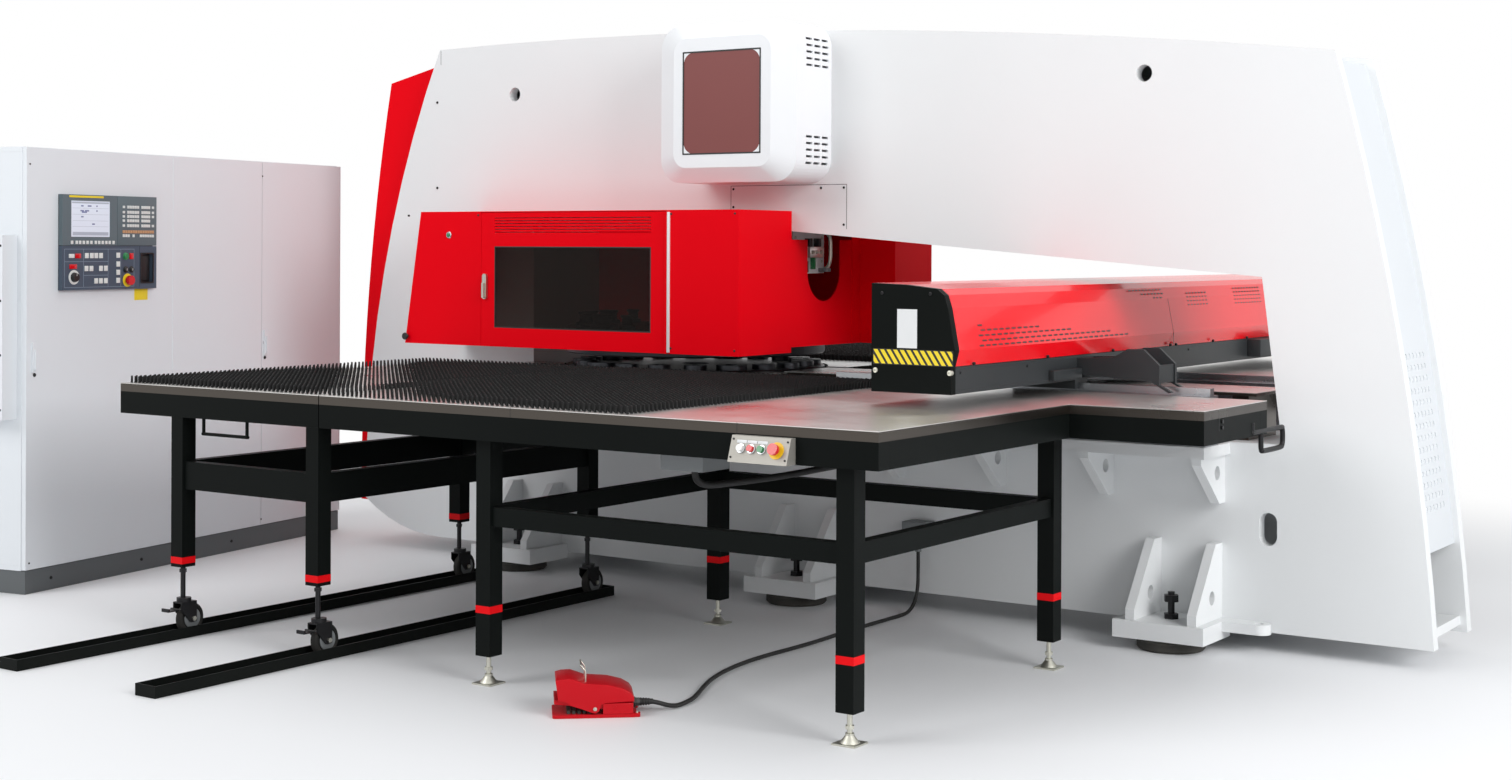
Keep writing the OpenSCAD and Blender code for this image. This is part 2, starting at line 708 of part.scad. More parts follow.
module leg_frame(xs, ys) {
    for (x = xs, y = ys) post(x, y, [leg_low, beam_low - fit]);
    for (y = ys) block([xs[0] + tube_w / 2 + fit, xs[1] - tube_w / 2 - fit], [y - 20, y + 20], stretcher_z);
    for (x = xs) block([x - 20, x + 20], [ys[0] + tube_w / 2 + fit, ys[1] - tube_w / 2 - fit], stretcher_z);
}
module fixed_table_frame() {
    color(black) place() {
        table_ring(fix_left, [fix_leg_xs[0], brush_right + cross_w / 2, fix_leg_xs[1]]);
        leg_frame(fix_leg_xs, fix_leg_ys);
    }
}
// A top is a row of steel sheets on a rim
top_seams = [437, 1308];
rim_z = [table_z - rim_h, table_z - skin_t - fit];
module table_tray(left) {
    xs = [left, fix_notch_x, top_seams[0], top_seams[1], table_right, side_right];
    for (i = [0:4]) block([xs[i] + (i > 0 ? fit : 0), xs[i + 1]],
        [i < 4 ? -table_out : -side_out, i < 1 ? -fix_back_left : -fix_back], [table_z - skin_t, table_z]);
    outline_members(left, skin_t, rim_z);
}
module fixed_table_top() {
    color(steel) place() table_tray(fix_left);
}
brush_base = 4;
module brush_field(x, y, z) {
    block(x, y, [z, z + brush_base]);
    for (r = [x[0] + 10:brush_pitch:x[1] - 10])
        block([r, r + 10], y, [z + brush_base - 0.5, z + brush_h]);
}
// The near field and the far one
module fixed_table_brushes() {
    color(black) place() {
        brush_field([fix_left + 5, brush_right], [-table_out + 30, -fix_back_left - 10], table_z);
        mirror([0, 1, 0]) brush_field([far_left + 20, brush_right],
            [-table_out + 30, -fix_back_left - 10], table_z);
    }
}
// Levelling feet: a threaded stem on a pressed square plate with a cone
module levelling_foot(x, y) {
    translate([x, y, 0]) {
        block([-38, 38], [-38, 38], [0, 5]);
        rotate_extrude($fn = 32) polygon([[0, 4], [30, 4], [24, 12], [13, 26], [13, 32], [8, 34],
            [8, leg_low], [0, leg_low]]);
        rod_z(14, [44, 54], [0, 0], 6);
    }
}
far_left = -table_left + 60;
far_leg_xs = [-1100, 1655];
module levelling_feet() {
    color([0.72, 0.73, 0.70]) place() {
        for (x = fix_leg_xs, y = fix_leg_ys) levelling_foot(x, y);
        for (x = far_leg_xs, y = fix_leg_ys) levelling_foot(x, -y);
    }
}
module far_table_frame() {
    color(black) place() mirror([0, 1, 0]) {
        table_ring(far_left, [far_leg_xs[0], fix_leg_xs[0], far_leg_xs[1]]);
        leg_frame(far_leg_xs, fix_leg_ys);
    }
}
module far_table_top() {
    color(steel) place() mirror([0, 1, 0]) table_tray(far_left);
}

// Button box on the front beam: its face leans back
box_x = [1308, 1512];
box_z = [790, 866];
box_lean = 18;
box_out = 48;
box_face_y = -table_out - box_out + 12;
box_mid_z = 830;
module box_face(x, out) {
    translate([x, box_face_y + out, box_mid_z]) rotate([-box_lean, 0, 0]) rotate([90, 0, 0]) children();
}
module button_box() {
    color(steel) place() difference() {
        slab_x(box_x) polygon([[-table_out - fit, box_z[0]], [-table_out - box_out, box_z[0]],
            [-table_out - box_out + (box_z[1] - box_z[0]) * tan(box_lean), box_z[1]],
            [-table_out - fit, box_z[1]]]);
        for (x = button_xs) box_face(x, 0) cylinder(r = button_r + fit, h = 60, center = true, $fn = 32);
        box_face(estop_x, 0) cylinder(r = 9 + fit, h = 60, center = true, $fn = 32);
    }
}
button_xs = [1347, 1383, 1419];
estop_x = 1470;
button_r = 10;
module box_button(x, c) {
    color(c) place() box_face(x, 0) translate([0, 0, -20]) cylinder(r = button_r, h = 32, $fn = 32);
}
module start_button() {
    box_button(button_xs[0], white);
}
module stop_button() {
    box_button(button_xs[1], red);
}
module reset_button() {
    box_button(button_xs[2], [0.05, 0.5, 0.2]);
}
module table_estop() {
    color(red) place() box_face(estop_x, 0) {
        translate([0, 0, -20]) cylinder(r = 9, h = 36, $fn = 32);
        translate([0, 0, 12]) cylinder(r = 17, h = 12, $fn = 32);
    }
}
// A box under the table's cross member, and the frame's socket box with the foot switch's gland
module junction_box() {
    color([0.55, 0.56, 0.57]) place() {
        block([brush_right + 40, brush_right + 200], [-table_out + 120, -table_out + 260],
            [beam_low - 60, beam_low + 30]);
        block([cord_x - 50, cord_x + 50], [-half_w - 80, -half_w], [gland_z[1], gland_z[1] + 90]);
        rod_z(14, gland_z, [cord_x, cord_end_y], 6);
    }
}

// Roll-out table: a second brush table on four casters in two floor channels
roll_right = seam_x - 1;
roll_back = 640;
caster_xs = [-1140, -448];
caster_ys = [-2221, -768];
roll_leg_low = 250;
roll_stretcher_z = [531, 630];
roll_x = [-table_left, roll_right];
roll_y = [-table_out, -roll_back];
handle_x = [-1024, -798];
handle_r = 6;
handle_z = 734;
module roll_table_frame() {
    color(black) place() {
        rect_members(roll_x, roll_y, tube_w, beam_span);
        block([caster_xs[0] - 5 - cross_w / 2, caster_xs[0] - 5 + cross_w / 2],
            [roll_y[0] + tube_w + fit, roll_y[1] - tube_w - fit], beam_span);
        for (x = caster_xs, y = caster_ys) post(x - 5, y, [roll_leg_low, beam_low - fit]);
        for (y = caster_ys) block([caster_xs[0] - 5 + tube_w / 2 + fit, caster_xs[1] - 5 - tube_w / 2 - fit],
            [y - 20, y + 20], roll_stretcher_z);
        for (x = caster_xs) block([x - 25, x + 15],
            [caster_ys[0] + tube_w / 2 + fit, caster_ys[1] - tube_w / 2 - fit], roll_stretcher_z);
        for (x = handle_x) rod_z(handle_r, [handle_z, beam_low - fit], [x, -table_out + 20], 24);
        rod_x(handle_r, [handle_x[0] - handle_r, handle_x[1] + handle_r], [-table_out + 20, handle_z], 24);
    }
}
module roll_table_top() {
    color(steel) place() {
        block(roll_x, roll_y, [table_z - skin_t, table_z]);
        rect_members(roll_x, roll_y, skin_t, rim_z);
    }
}
module roll_table_brushes() {
    color(black) place() brush_field([-table_left + 20, roll_right - 5], [-table_out + 30, -roll_back - 10],
        table_z);
}
axle_z = channel_t + fit + wheel_r;
axle_r = 6;
trail = 26;
fork_t = 4;
fork_in = wheel_w / 2 + 3;
module caster_fork(x, y) {
    translate([x, y, 0]) {
        rod_z(9, [axle_z + wheel_r + 20, roll_leg_low], [-5, 0], 32);
        rod_z(13, [roll_leg_low - 22, roll_leg_low - 10], [-5, 0], 6);
        rod_z(26, [axle_z + wheel_r + 8, axle_z + wheel_r + 22], [0, 0], 32);
        block([-fork_in - fork_t, fork_in + fork_t], [-30, trail + 14],
            [axle_z + wheel_r + 4, axle_z + wheel_r + 8]);
        for (s = [-1, 1]) slab_x(s > 0 ? [fork_in, fork_in + fork_t] : [-fork_in - fork_t, -fork_in])
            polygon([[-30, axle_z + wheel_r + 5], [trail + 14, axle_z + wheel_r + 5],
                [trail + 14, axle_z - 12], [trail - 14, axle_z - 12], [-30, axle_z + wheel_r - 20]]);
        rod_x(axle_r, [-fork_in - fork_t - 5, fork_in + fork_t + 5], [trail, axle_z], 32);
    }
}
module caster_forks() {
    color([0.14, 0.14, 0.15]) place() for (x = caster_xs, y = caster_ys) caster_fork(x, y);
}
module caster_wheel(x, y) {
    color([0.05, 0.05, 0.05]) place() translate([0, y + trail, axle_z]) rotate([90, 0, 90])
        translate([0, 0, x]) rotate_extrude($fn = 64) polygon([[axle_r + running_gap, -wheel_w / 2],
            [16, -wheel_w / 2], [18, -wheel_w / 2 + 6], [wheel_r - 16, -wheel_w / 2 + 6],
            [wheel_r - 12, -wheel_w / 2 + 1], [wheel_r - 5, -wheel_w / 2 + 1], [wheel_r, -wheel_w / 2 + 7],
            [wheel_r, wheel_w / 2 - 7], [wheel_r - 5, wheel_w / 2 - 1], [wheel_r - 12, wheel_w / 2 - 1],
            [wheel_r - 16, wheel_w / 2 - 6], [18, wheel_w / 2 - 6], [16, wheel_w / 2],
            [axle_r + running_gap, wheel_w / 2]]);
}
module caster_wheel_1() {
    caster_wheel(caster_xs[0], caster_ys[0]);
}
module caster_wheel_2() {
    caster_wheel(caster_xs[1], caster_ys[0]);
}
module caster_wheel_3() {
    caster_wheel(caster_xs[0], caster_ys[1]);
}
module caster_wheel_4() {
    caster_wheel(caster_xs[1], caster_ys[1]);
}
// Brake pedals of the two outer casters hang on a pin in front of the fork
brake_y = -34.5;
brake_z = axle_z + 38;
module brake_pedal(x) {
    color([0.14, 0.14, 0.15]) place() translate([x, caster_ys[0], brake_z]) {
        rod_x(4, [-fork_in - fork_t - 5, fork_in + fork_t + 5], [brake_y, 0], 24);
        block([-fork_in, fork_in], [brake_y - 44, brake_y], [-3, 1]);
        block([-fork_in, fork_in], [brake_y - 50, brake_y - 44], [-3, 9]);
    }
}
module brake_pedal_1() {
    brake_pedal(caster_xs[0]);
}
module brake_pedal_2() {
    brake_pedal(caster_xs[1]);
}
channel_in = 660;
module floor_channels() {
    color(black) place() for (x = caster_xs) plates([x - channel_w / 2, x + channel_w / 2],
        [-channel_out, -channel_in], [0, channel_h], channel_t, [1, 1, 1, 1, 1, 0]);
}

// Crossbeam: a steel box under a bent cover, on rails along both ledges
beam_y = [-beam_near, beam_far];
end_t = 30;
cover_low = 90;
function beam_profile(d) = [[d, d], [beam_w - 14 - d, d], [beam_w - 14 - d, cover_low],
    [beam_w - d, cover_low + 52], [beam_w - 26 - d, beam_cover_h - 78],
    [beam_w - 40 - d, beam_cover_h - 36 - d],
    [beam_w - 66 - d, beam_cover_h - 16 - d], [beam_w * 0.4, beam_cover_h - 4 - d], [d, beam_cover_h - d]];
tube_x = [beam_x + 14, beam_x + beam_w - 70];
rail_y = 400;
rail_half = 17;
rail_z = [table_z, table_z + 26];
shoe_l = 250;
tube_t = 10;
beam_run = [beam_y[0] + end_t + fit, beam_y[1] - end_t - fit];
// Outriggers on the beam's right face carry a plate for its drive chain
out_y = [-454, -313];
out_t = 16;
out_l = 344;
out_h = 116;
out_face = out_l - 48;
module outrigger(y) {
    x = beam_x + beam_w;
    slab_y([y - out_t / 2, y + out_t / 2]) polygon([[x - 18 + fit, beam_z + 20], [x + out_face - 32, beam_z + 4],
        [x + out_l - 14, beam_z - 33], [x + out_l, beam_z - 30], [x + out_face, beam_z - 6],
        [x + out_face, beam_z + 62], [x + out_face - 60, beam_z + out_h],
        [x + out_face - 120, beam_z + out_h], [x + out_face - 176, beam_z + 84],
        [x - 18 + fit, beam_z + 78]]);
}
module crossbeam() {
    color([0.16, 0.17, 0.18]) place() {
        plates([beam_x + 5, beam_x + beam_w - 18], beam_run, [beam_z, beam_z + cover_low - 2], tube_t,
            [1, 1, 0, 0, 1, 1]);
        plates(tube_x, beam_run, [beam_z + cover_low - 2 + fit, beam_z + beam_cover_h - 60], tube_t,
            [1, 1, 0, 0, 1, 1]);
        for (s = [-1, 1]) difference() {
            block([beam_x + 30, beam_x + 30 + shoe_l], [s * rail_y - 50, s * rail_y + 50],
                [rail_z[0] + 6, beam_z - fit]);
            block([beam_x, beam_x + 60 + shoe_l],
                [s * rail_y - rail_half - fit, s * rail_y + rail_half + fit],
                [rail_z[0], rail_z[1] + fit]);
        }
        for (y = out_y) outrigger(y);
        block([beam_x + beam_w + out_face - 14, beam_x + beam_w + out_face - 4],
            [out_y[0] + out_t / 2 + fit, out_y[1] - out_t / 2 - fit], [beam_z, beam_z + 62]);
        for (z = [beam_z + 120, beam_z + 250])
            block([beam_x + 2, tube_x[0] - fit], [beam_run[0] + 20, beam_run[1] - 20], [z, z + 24]);
    }
}
module crossbeam_cover() {
    color(red) place() difference() {
        slab_y(beam_run) translate([beam_x, beam_z]) difference() {
            polygon(beam_profile(0));
            polygon(beam_profile(3));
            translate([-eps, -eps]) square([beam_w + 2 * eps, cover_low + eps]);
            translate([-eps, -eps]) square([10, beam_cover_h - 40]);
        }
    }
}
module crossbeam_ends() {
    color(black) place() for (y = [[beam_y[0], beam_y[0] + end_t], [beam_y[1] - end_t, beam_y[1]]])
        slab_y(y) translate([beam_x, beam_z]) polygon(beam_profile(0));
}
module guide_rails() {
    color([0.45, 0.46, 0.48]) place() both_sides() {
        block([ledge_x[0], ledge_x[1]], [-rail_y - 55, -rail_y + 55], [ledge_z[1], rail_z[0]]);
        block([ledge_x[0], ledge_x[1]], [-rail_y - rail_half, -rail_y + rail_half], rail_z);
    }
}

// Carriage with three sheet clamps on the crossbeam's left face
car_y = (beam_far - beam_near) / 2;
car_half = 460;
car_h = 290;
car_x = [beam_x - 36, beam_x + 2 - fit];
clamp_low = pass_z + 3;
jaw_low = clamp_low + 12;
clamp_reach = 190;
clamp_w = 110;
jaw_pivot = [car_x[0] - 62, jaw_low + 24];
pin_r = 8;
module clamp(y) {
    difference() {
        union() {
            block([car_x[0] - clamp_reach, car_x[0] - 20], [y - clamp_w / 2, y + clamp_w / 2],
                [clamp_low, jaw_low]);
            for (s = [-1, 1]) block([car_x[0] - 84, car_x[0]], s > 0 ? [y + 35, y + clamp_w / 2]
                : [y - clamp_w / 2, y - 35], [clamp_low, jaw_low + 44]);
            block([car_x[0] - 22, car_x[0] + 0.5], [y - clamp_w / 2, y + clamp_w / 2],
                [clamp_low, jaw_low + 44]);
        }
        rod_y(pin_r + running_gap, [y - clamp_w, y + clamp_w], jaw_pivot, 32);
    }
}
module carriage() {
    color([0.25, 0.26, 0.28]) place() {
        block(car_x, [car_y - car_half, car_y + car_half], [beam_z, beam_z + car_h]);
        for (i = [-1:1]) clamp(car_y + i * clamp_pitch);
    }
}
module clamp_jaws() {
    color([0.55, 0.56, 0.58]) place() for (i = [-1:1]) translate([0, car_y + i * clamp_pitch, 0]) {
        slab_y([-34, 34]) polygon([[car_x[0] - clamp_reach + 4, jaw_low + fit],
            [jaw_pivot[0] - 4, jaw_low + fit], [jaw_pivot[0] + 12, jaw_low + 5],
            [jaw_pivot[0] + 16, jaw_low + 24], [jaw_pivot[0] + 8, jaw_low + 34],
            [jaw_pivot[0] - 10, jaw_low + 34], [car_x[0] - clamp_reach + 4, jaw_low + 12]]);
        rod_y(pin_r, [-clamp_w / 2, clamp_w / 2], jaw_pivot, 32);
    }
}

// Foot switch: a cast base with a hood over the treadle
pedal_x = 820;
pedal_y = -2300;
pedal_turn = 41;
module at_pedal() {
    place() translate([pedal_x, pedal_y, 0]) rotate([0, 0, pedal_turn]) children();
}
pedal_wall = 6;
treadle_pivot_x = 60;
treadle_z = 30;
module pedal_base() {
    color(red) at_pedal() {
        block([-pedal_l / 2, pedal_l / 2], [-pedal_w / 2, pedal_w / 2], [0, 10]);
        difference() {
            slab_y([-pedal_w / 2, pedal_w / 2]) polygon([[-pedal_l / 2 + 30, 10], [pedal_l / 2, 10],
                [pedal_l / 2, 52], [pedal_l / 2 - 40, 76], [0, pedal_h], [-pedal_l / 2 + 30, pedal_h - 4]]);
            slab_y([-pedal_w / 2 + pedal_wall, pedal_w / 2 - pedal_wall]) polygon([
                [-pedal_l / 2 + 20, 10.5], [pedal_l / 2 - 44, 10.5], [pedal_l / 2 - 44, 68],
                [0, pedal_h - pedal_wall], [-pedal_l / 2 + 20, pedal_h - 4 - pedal_wall]]);
            rod_y(5 + running_gap, [-pedal_w, pedal_w], [treadle_pivot_x, treadle_z], 32);
        }
        rod_x(12, [pedal_l / 2, pedal_l / 2 + 18], [0, 30], 32);
        for (s = [-1, 1]) rod_z(4, [pedal_h - 8, pedal_h + 34], [-40, s * 40], 16);
        rod_y(4, [-44, 44], [-40, pedal_h + 34], 16);
    }
}
module pedal_treadle() {
    color([0.1, 0.1, 0.1]) at_pedal() {
        slab_y([-pedal_w / 2 + pedal_wall + 3, pedal_w / 2 - pedal_wall - 3]) polygon([
            [-pedal_l / 2 + 6, 42], [treadle_pivot_x - 10, 22], [treadle_pivot_x + 8, 24],
            [treadle_pivot_x + 8, 36], [treadle_pivot_x - 6, 38], [-pedal_l / 2 + 6, 54]]);
        rod_y(5, [-pedal_w / 2 + 1, pedal_w / 2 - 1], [treadle_pivot_x, treadle_z], 32);
    }
}
// The switch's cord runs over the floor to a box on the frame
cord_x = 785;
gland_z = [235, 262];
cord_end_y = -270;
cord_z = cord_r + 0.3;
cord_route = [[930, -2204, 30], [948, -2188, 30], [966, -2168, 24], [980, -2142, 14], [987, -2105, cord_z],
    [984, -2055, cord_z], [968, -1995, cord_z], [938, -1925, cord_z], [900, -1845, cord_z],
    [862, -1755, cord_z], [830, -1655, cord_z], [806, -1545, cord_z], [793, -1430, cord_z],
    [790, -1310, cord_z], [794, -1190, cord_z], [797, -1070, cord_z], [794, -950, cord_z],
    [788, -830, cord_z], [cord_x, -710, cord_z], [cord_x, -590, cord_z], [cord_x, -480, cord_z],
    [cord_x, -400, cord_z], [cord_x, -352, 11], [cord_x, -314, 28], [cord_x, -287, 58],
    [cord_x, -273, 100], [cord_x, cord_end_y, 150], [cord_x, cord_end_y, 200],
    [cord_x, cord_end_y, gland_z[0]]];
function unit(v) = v / norm(v);
function way(p, i) = unit(p[min(i + 1, len(p) - 1)] - p[max(i - 1, 0)]);
function ring(p, i, r, n) =
    let (t = way(p, i), side = unit(cross(t, [0.31, 0.05, 0.95])), up = cross(side, t))
    [for (k = [0:n - 1]) p[i] + r * (cos(360 * k / n) * side + sin(360 * k / n) * up)];
// Points between the chosen ones, on a smooth curve through them
function between(p, i, t) = let (a = p[max(i - 1, 0)], b = p[i], c = p[i + 1], e = p[min(i + 2, len(p) - 1)])
    0.5 * (2 * b + (c - a) * t + (2 * a - 5 * b + 4 * c - e) * t * t + (3 * b - a - 3 * c + e) * t * t * t);
module cord_tube(route, r, n) {
    p = concat([for (i = [0:len(route) - 2], t = [0, 0.5]) between(route, i, t)], [route[len(route) - 1]]);
    m = len(p);
    pts = [for (i = [0:m - 1], q = ring(p, i, r, n)) q];
    polyhedron(points = pts, faces = concat([[for (k = [n - 1:-1:0]) k]],
        [for (i = [0:m - 2], k = [0:n - 1]) [i * n + k, i * n + (k + 1) % n, (i + 1) * n + (k + 1) % n,
            (i + 1) * n + k]],
        [[for (k = [0:n - 1]) (m - 1) * n + k]]));
}
module pedal_cord() {
    color(black) place() cord_tube(cord_route, cord_r, 8);
}

// Control cabinet: a steel case on a plinth, drawn in its own frame with the front at x = 0
seam_1 = 872;
seam_2 = 1489;
cab_door_t = 22;
cab_gap = 3;
bay_wall = 12;
cooler_out = 80;
cooler_z = [704, 1444];
side_box_z = [830, 1454];
cab_hinge_r = 2.5;
module at_cabinet() {
    place() translate([cabinet_x, cabinet_y, 0]) rotate([0, 0, cabinet_turn]) children();
}
// A hollow case on the cabinet's side
module cabinet_case(x, y, z) {
    difference() {
        block(x, y, z);
        block([x[0] + 4, x[1] - 4], [y[0] + 4, y[1] - 4], [z[0] + 4, z[1] - 4]);
    }
}
module cabinet_body() {
    color(white) at_cabinet() {
        plates([-cabinet_d, -cab_door_t - fit], [0, cabinet_l], [plinth_h, cabinet_h], cabinet_t,
            [1, 0, 1, 1, 1, 1]);
        for (y = [seam_1, seam_2]) block([-cabinet_d + cabinet_t + fit, -cab_door_t - fit],
            [y - bay_wall, y + bay_wall], [plinth_h + cabinet_t + fit, cabinet_h - cabinet_t - fit]);
        cabinet_door([seam_1 + cab_gap, seam_2 - cab_gap]);
        cabinet_case([-cabinet_d + 60, -46], [-cooler_out, -fit], cooler_z);
        cabinet_case([-cabinet_d + 120, -120], [cabinet_l + fit, cabinet_l + cooler_out], side_box_z);
    }
    color([0.3, 0.31, 0.32]) at_cabinet()
        rect_members([-cabinet_d + 4, -4], [4, cabinet_l - 4], 40, [0, plinth_h - fit]);
}
module cabinet_door(y) {
    difference() {
        block([-cab_door_t, 0], y, [plinth_h + cab_gap, cabinet_h - cab_gap]);
        block([-cab_door_t - eps, -3], [y[0] + 3, y[1] - 3],
            [plinth_h + cab_gap + 3, cabinet_h - cab_gap - 3]);
    }
}
module cab_hinge(y) {
    rod_z(cab_hinge_r, [plinth_h + cab_gap, cabinet_h - cab_gap], [0, y], 24);
}
cab_latch_z = 950;
module cab_latch(y) {
    block([0, 8], [y - 14, y + 14], [cab_latch_z - 60, cab_latch_z + 60]);
    block([8, 16], [y - 7, y + 7], [cab_latch_z - 48, cab_latch_z + 30]);
}
module cabinet_door_1() {
    color(white) at_cabinet() {
        cabinet_door([cab_gap, seam_1]);
        cab_hinge(seam_1);
        cab_latch(45);
    }
}
module cabinet_door_2() {
    color(white) at_cabinet() {
        cabinet_door([seam_2, cabinet_l - cab_gap]);
        cab_hinge(cabinet_l - cab_gap);
        cab_latch(seam_2 + 25);
    }
}
panel_y = [175, 737];
panel_z = [1219, 1613];
panel_out = 24;
screen_y = [222, 453];
screen_z = [1437, 1590];
key_l = 22;
estop_y = 557;
estop_z = 1256;
module control_panel() {
    color([0.42, 0.44, 0.46]) at_cabinet() difference() {
        union() {
            block([0, panel_out], panel_y, panel_z);
            for (i = [0:5], j = [0:4])
                block([panel_out - 0.5, panel_out + 5], [482 + i * 36, 482 + i * 36 + key_l],
                    [1444 + j * 30, 1444 + j * 30 + 20]);
            for (i = [0:4], j = [0:1])
                block([panel_out - 0.5, panel_out + 6], [310 + i * 40, 310 + i * 40 + 24],
                    [1262 + j * 70, 1262 + j * 70 + 24]);
            translate([panel_out - 0.5, 238, 1281]) rotate([0, 90, 0]) cylinder(r = 32, h = 18, $fn = 40);
            translate([panel_out, 238, 1281]) rotate([0, 90, 0]) cylinder(r = 9, h = 34, $fn = 24);
        }
        block([panel_out - 6, panel_out + eps], screen_y, screen_z);
        block([panel_out - 10, panel_out + eps], [632, 712], [1246, 1363]);
        translate([-eps, estop_y, estop_z]) rotate([0, 90, 0]) cylinder(r = 10 + fit, h = 60, $fn = 32);
    }
}
module panel_screen() {
    color([0.55, 0.62, 0.68]) at_cabinet() block([panel_out - 6, panel_out - 2],
        [screen_y[0] + fit, screen_y[1] - fit], [screen_z[0] + fit, screen_z[1] - fit]);
}
module panel_estop() {
    color(red) at_cabinet() translate([0, estop_y, estop_z]) rotate([0, 90, 0]) {
        translate([0, 0, 10]) cylinder(r = 10, h = panel_out, $fn = 32);
        translate([0, 0, panel_out + 10]) cylinder(r = 20, h = 14, $fn = 32);
    }
}

near_side_plate();
far_side_plate();
frame_webs();
nose_cover();
rear_cover();
motor_housing();
motor_window();
guide_ledges();
foot_brackets();
foot_pads();
jack_bolts();
turret_guard();
far_guard();
guard_door();
door_glass();
door_latch();
turret_spindles();
upper_turret();
lower_turret();
punch_tools();
striker();
centre_table();
fixed_table_frame();
fixed_table_top();
fixed_table_brushes();
levelling_feet();
far_table_frame();
far_table_top();
button_box();
start_button();
stop_button();
reset_button();
table_estop();
junction_box();
roll_table_frame();
roll_table_top();
roll_table_brushes();
caster_forks();
caster_wheel_1();
caster_wheel_2();
caster_wheel_3();
caster_wheel_4();
brake_pedal_1();
brake_pedal_2();
floor_channels();
crossbeam();
crossbeam_cover();
crossbeam_ends();
guide_rails();
carriage();
clamp_jaws();
pedal_base();
pedal_treadle();
pedal_cord();
cabinet_body();
cabinet_door_1();
cabinet_door_2();
control_panel();
panel_screen();
panel_estop();
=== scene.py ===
# %% [markdown]
# # A turret punch press, dressed for the camera
# The engineering model gives every plate, leg, wheel and turret station at its true size. This notebook
# loads it as a fixed frame, adds the fine pieces that a drawing leaves out (brush tufts, screws, stripes,
# keys, hoses) and paints everything. Nothing of the loaded model is moved.

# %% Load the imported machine
import math
import bmesh
import bpy
from mathutils import Matrix, Vector, noise


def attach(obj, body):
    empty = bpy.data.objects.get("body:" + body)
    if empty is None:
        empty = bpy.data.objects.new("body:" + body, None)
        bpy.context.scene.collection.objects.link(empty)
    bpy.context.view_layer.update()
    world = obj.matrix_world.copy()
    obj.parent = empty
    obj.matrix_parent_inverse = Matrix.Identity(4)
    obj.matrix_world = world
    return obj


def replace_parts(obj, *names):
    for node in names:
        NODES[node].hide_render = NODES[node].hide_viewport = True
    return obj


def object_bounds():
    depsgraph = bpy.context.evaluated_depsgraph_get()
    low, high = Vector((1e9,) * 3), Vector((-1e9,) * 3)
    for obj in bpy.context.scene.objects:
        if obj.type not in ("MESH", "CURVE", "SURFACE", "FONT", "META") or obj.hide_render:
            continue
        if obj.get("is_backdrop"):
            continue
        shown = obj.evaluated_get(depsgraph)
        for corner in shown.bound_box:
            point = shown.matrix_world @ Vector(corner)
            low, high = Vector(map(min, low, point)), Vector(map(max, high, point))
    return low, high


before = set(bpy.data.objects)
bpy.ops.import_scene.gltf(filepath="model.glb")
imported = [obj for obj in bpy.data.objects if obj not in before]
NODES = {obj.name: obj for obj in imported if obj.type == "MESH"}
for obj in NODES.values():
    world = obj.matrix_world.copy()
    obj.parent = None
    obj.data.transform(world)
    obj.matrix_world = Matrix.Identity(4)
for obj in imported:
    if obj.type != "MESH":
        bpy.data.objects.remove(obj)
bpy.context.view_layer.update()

# %% [markdown]
# The drawing measures from the punching point: X along the frame, Y across it, Z up, in millimetres. The
# scene's origin is the middle of the footprint, so `spot` turns a drawing place into scene metres.

# %% Places in the drawing's millimetres
PUNCH_POINT = Vector((0.266499, 0.3485, 0.0))


def spot(x, y, z):
    return PUNCH_POINT + Vector((x, y, z)) / 1000


# %% [markdown]
# The camera stands where the photographer stood, at eye height near the right end of the table, looking
# past it to the turret. The sensor keeps level, so the low horizon is a vertical shift and not a tilt.

# %% Camera
CAMERA_YAW, CAMERA_PITCH, CAMERA_ROLL = 0.599021, -0.001961, 0.004525
HORIZON_ROW, FOCAL_PIXELS, SENSOR = 250.2, 2012.48, 36
FRAME_W, FRAME_H = 1512, 780


def add_object(name, data):
    """Puts a mesh, curve, lamp or camera into the scene under its name."""
    made = bpy.data.objects.new(name, data)
    bpy.context.scene.collection.objects.link(made)
    return made


camera = add_object("camera", bpy.data.cameras.new("camera"))
camera.data.sensor_width = SENSOR
camera.data.lens = SENSOR * FOCAL_PIXELS / FRAME_W
camera.data.shift_y = -(FRAME_H / 2 - HORIZON_ROW) / FRAME_W
camera.matrix_world = (
    Matrix.Translation(spot(4650, -7053, 1412.4))
    @ Matrix.Rotation(CAMERA_YAW, 4, "Z")
    @ Matrix.Rotation(math.pi / 2 + CAMERA_PITCH, 4, "X")
    @ Matrix.Rotation(CAMERA_ROLL, 4, "Z")
)
bpy.context.scene.camera = camera
print("lens", round(camera.data.lens, 2), "mm, shift", round(camera.data.shift_y, 4))

# %% [markdown]
# ## The foot switch's cord
# A rubber cord lies in one loose curve from the switch, under the table, to a gland on the frame. It is a
# poly curve with a round bevel, and its points repeat the drawing's route, smoothed in the same way. Its
# rubber is an empty material here, and it's mixed with the other finishes below.

# %% The cord
CORD_RADIUS, LIES_AT = 0.007, 7.3
ON_THE_FLOOR = [
    (987, -2105), (984, -2055), (968, -1995), (938, -1925), (900, -1845), (862, -1755), (830, -1655),
    (806, -1545), (793, -1430), (790, -1310), (794, -1190), (797, -1070), (794, -950), (788, -830),
    (785, -710), (785, -590), (785, -480), (785, -400)]
CORD_ROUTE = [
    (930, -2204, 30), (948, -2188, 30), (966, -2168, 24), (980, -2142, 14),
    *[(x, y, LIES_AT) for x, y in ON_THE_FLOOR],
    (785, -352, 11), (785, -314, 28), (785, -287, 58), (785, -273, 100), (785, -270, 150),
    (785, -270, 200), (785, -270, 235)]


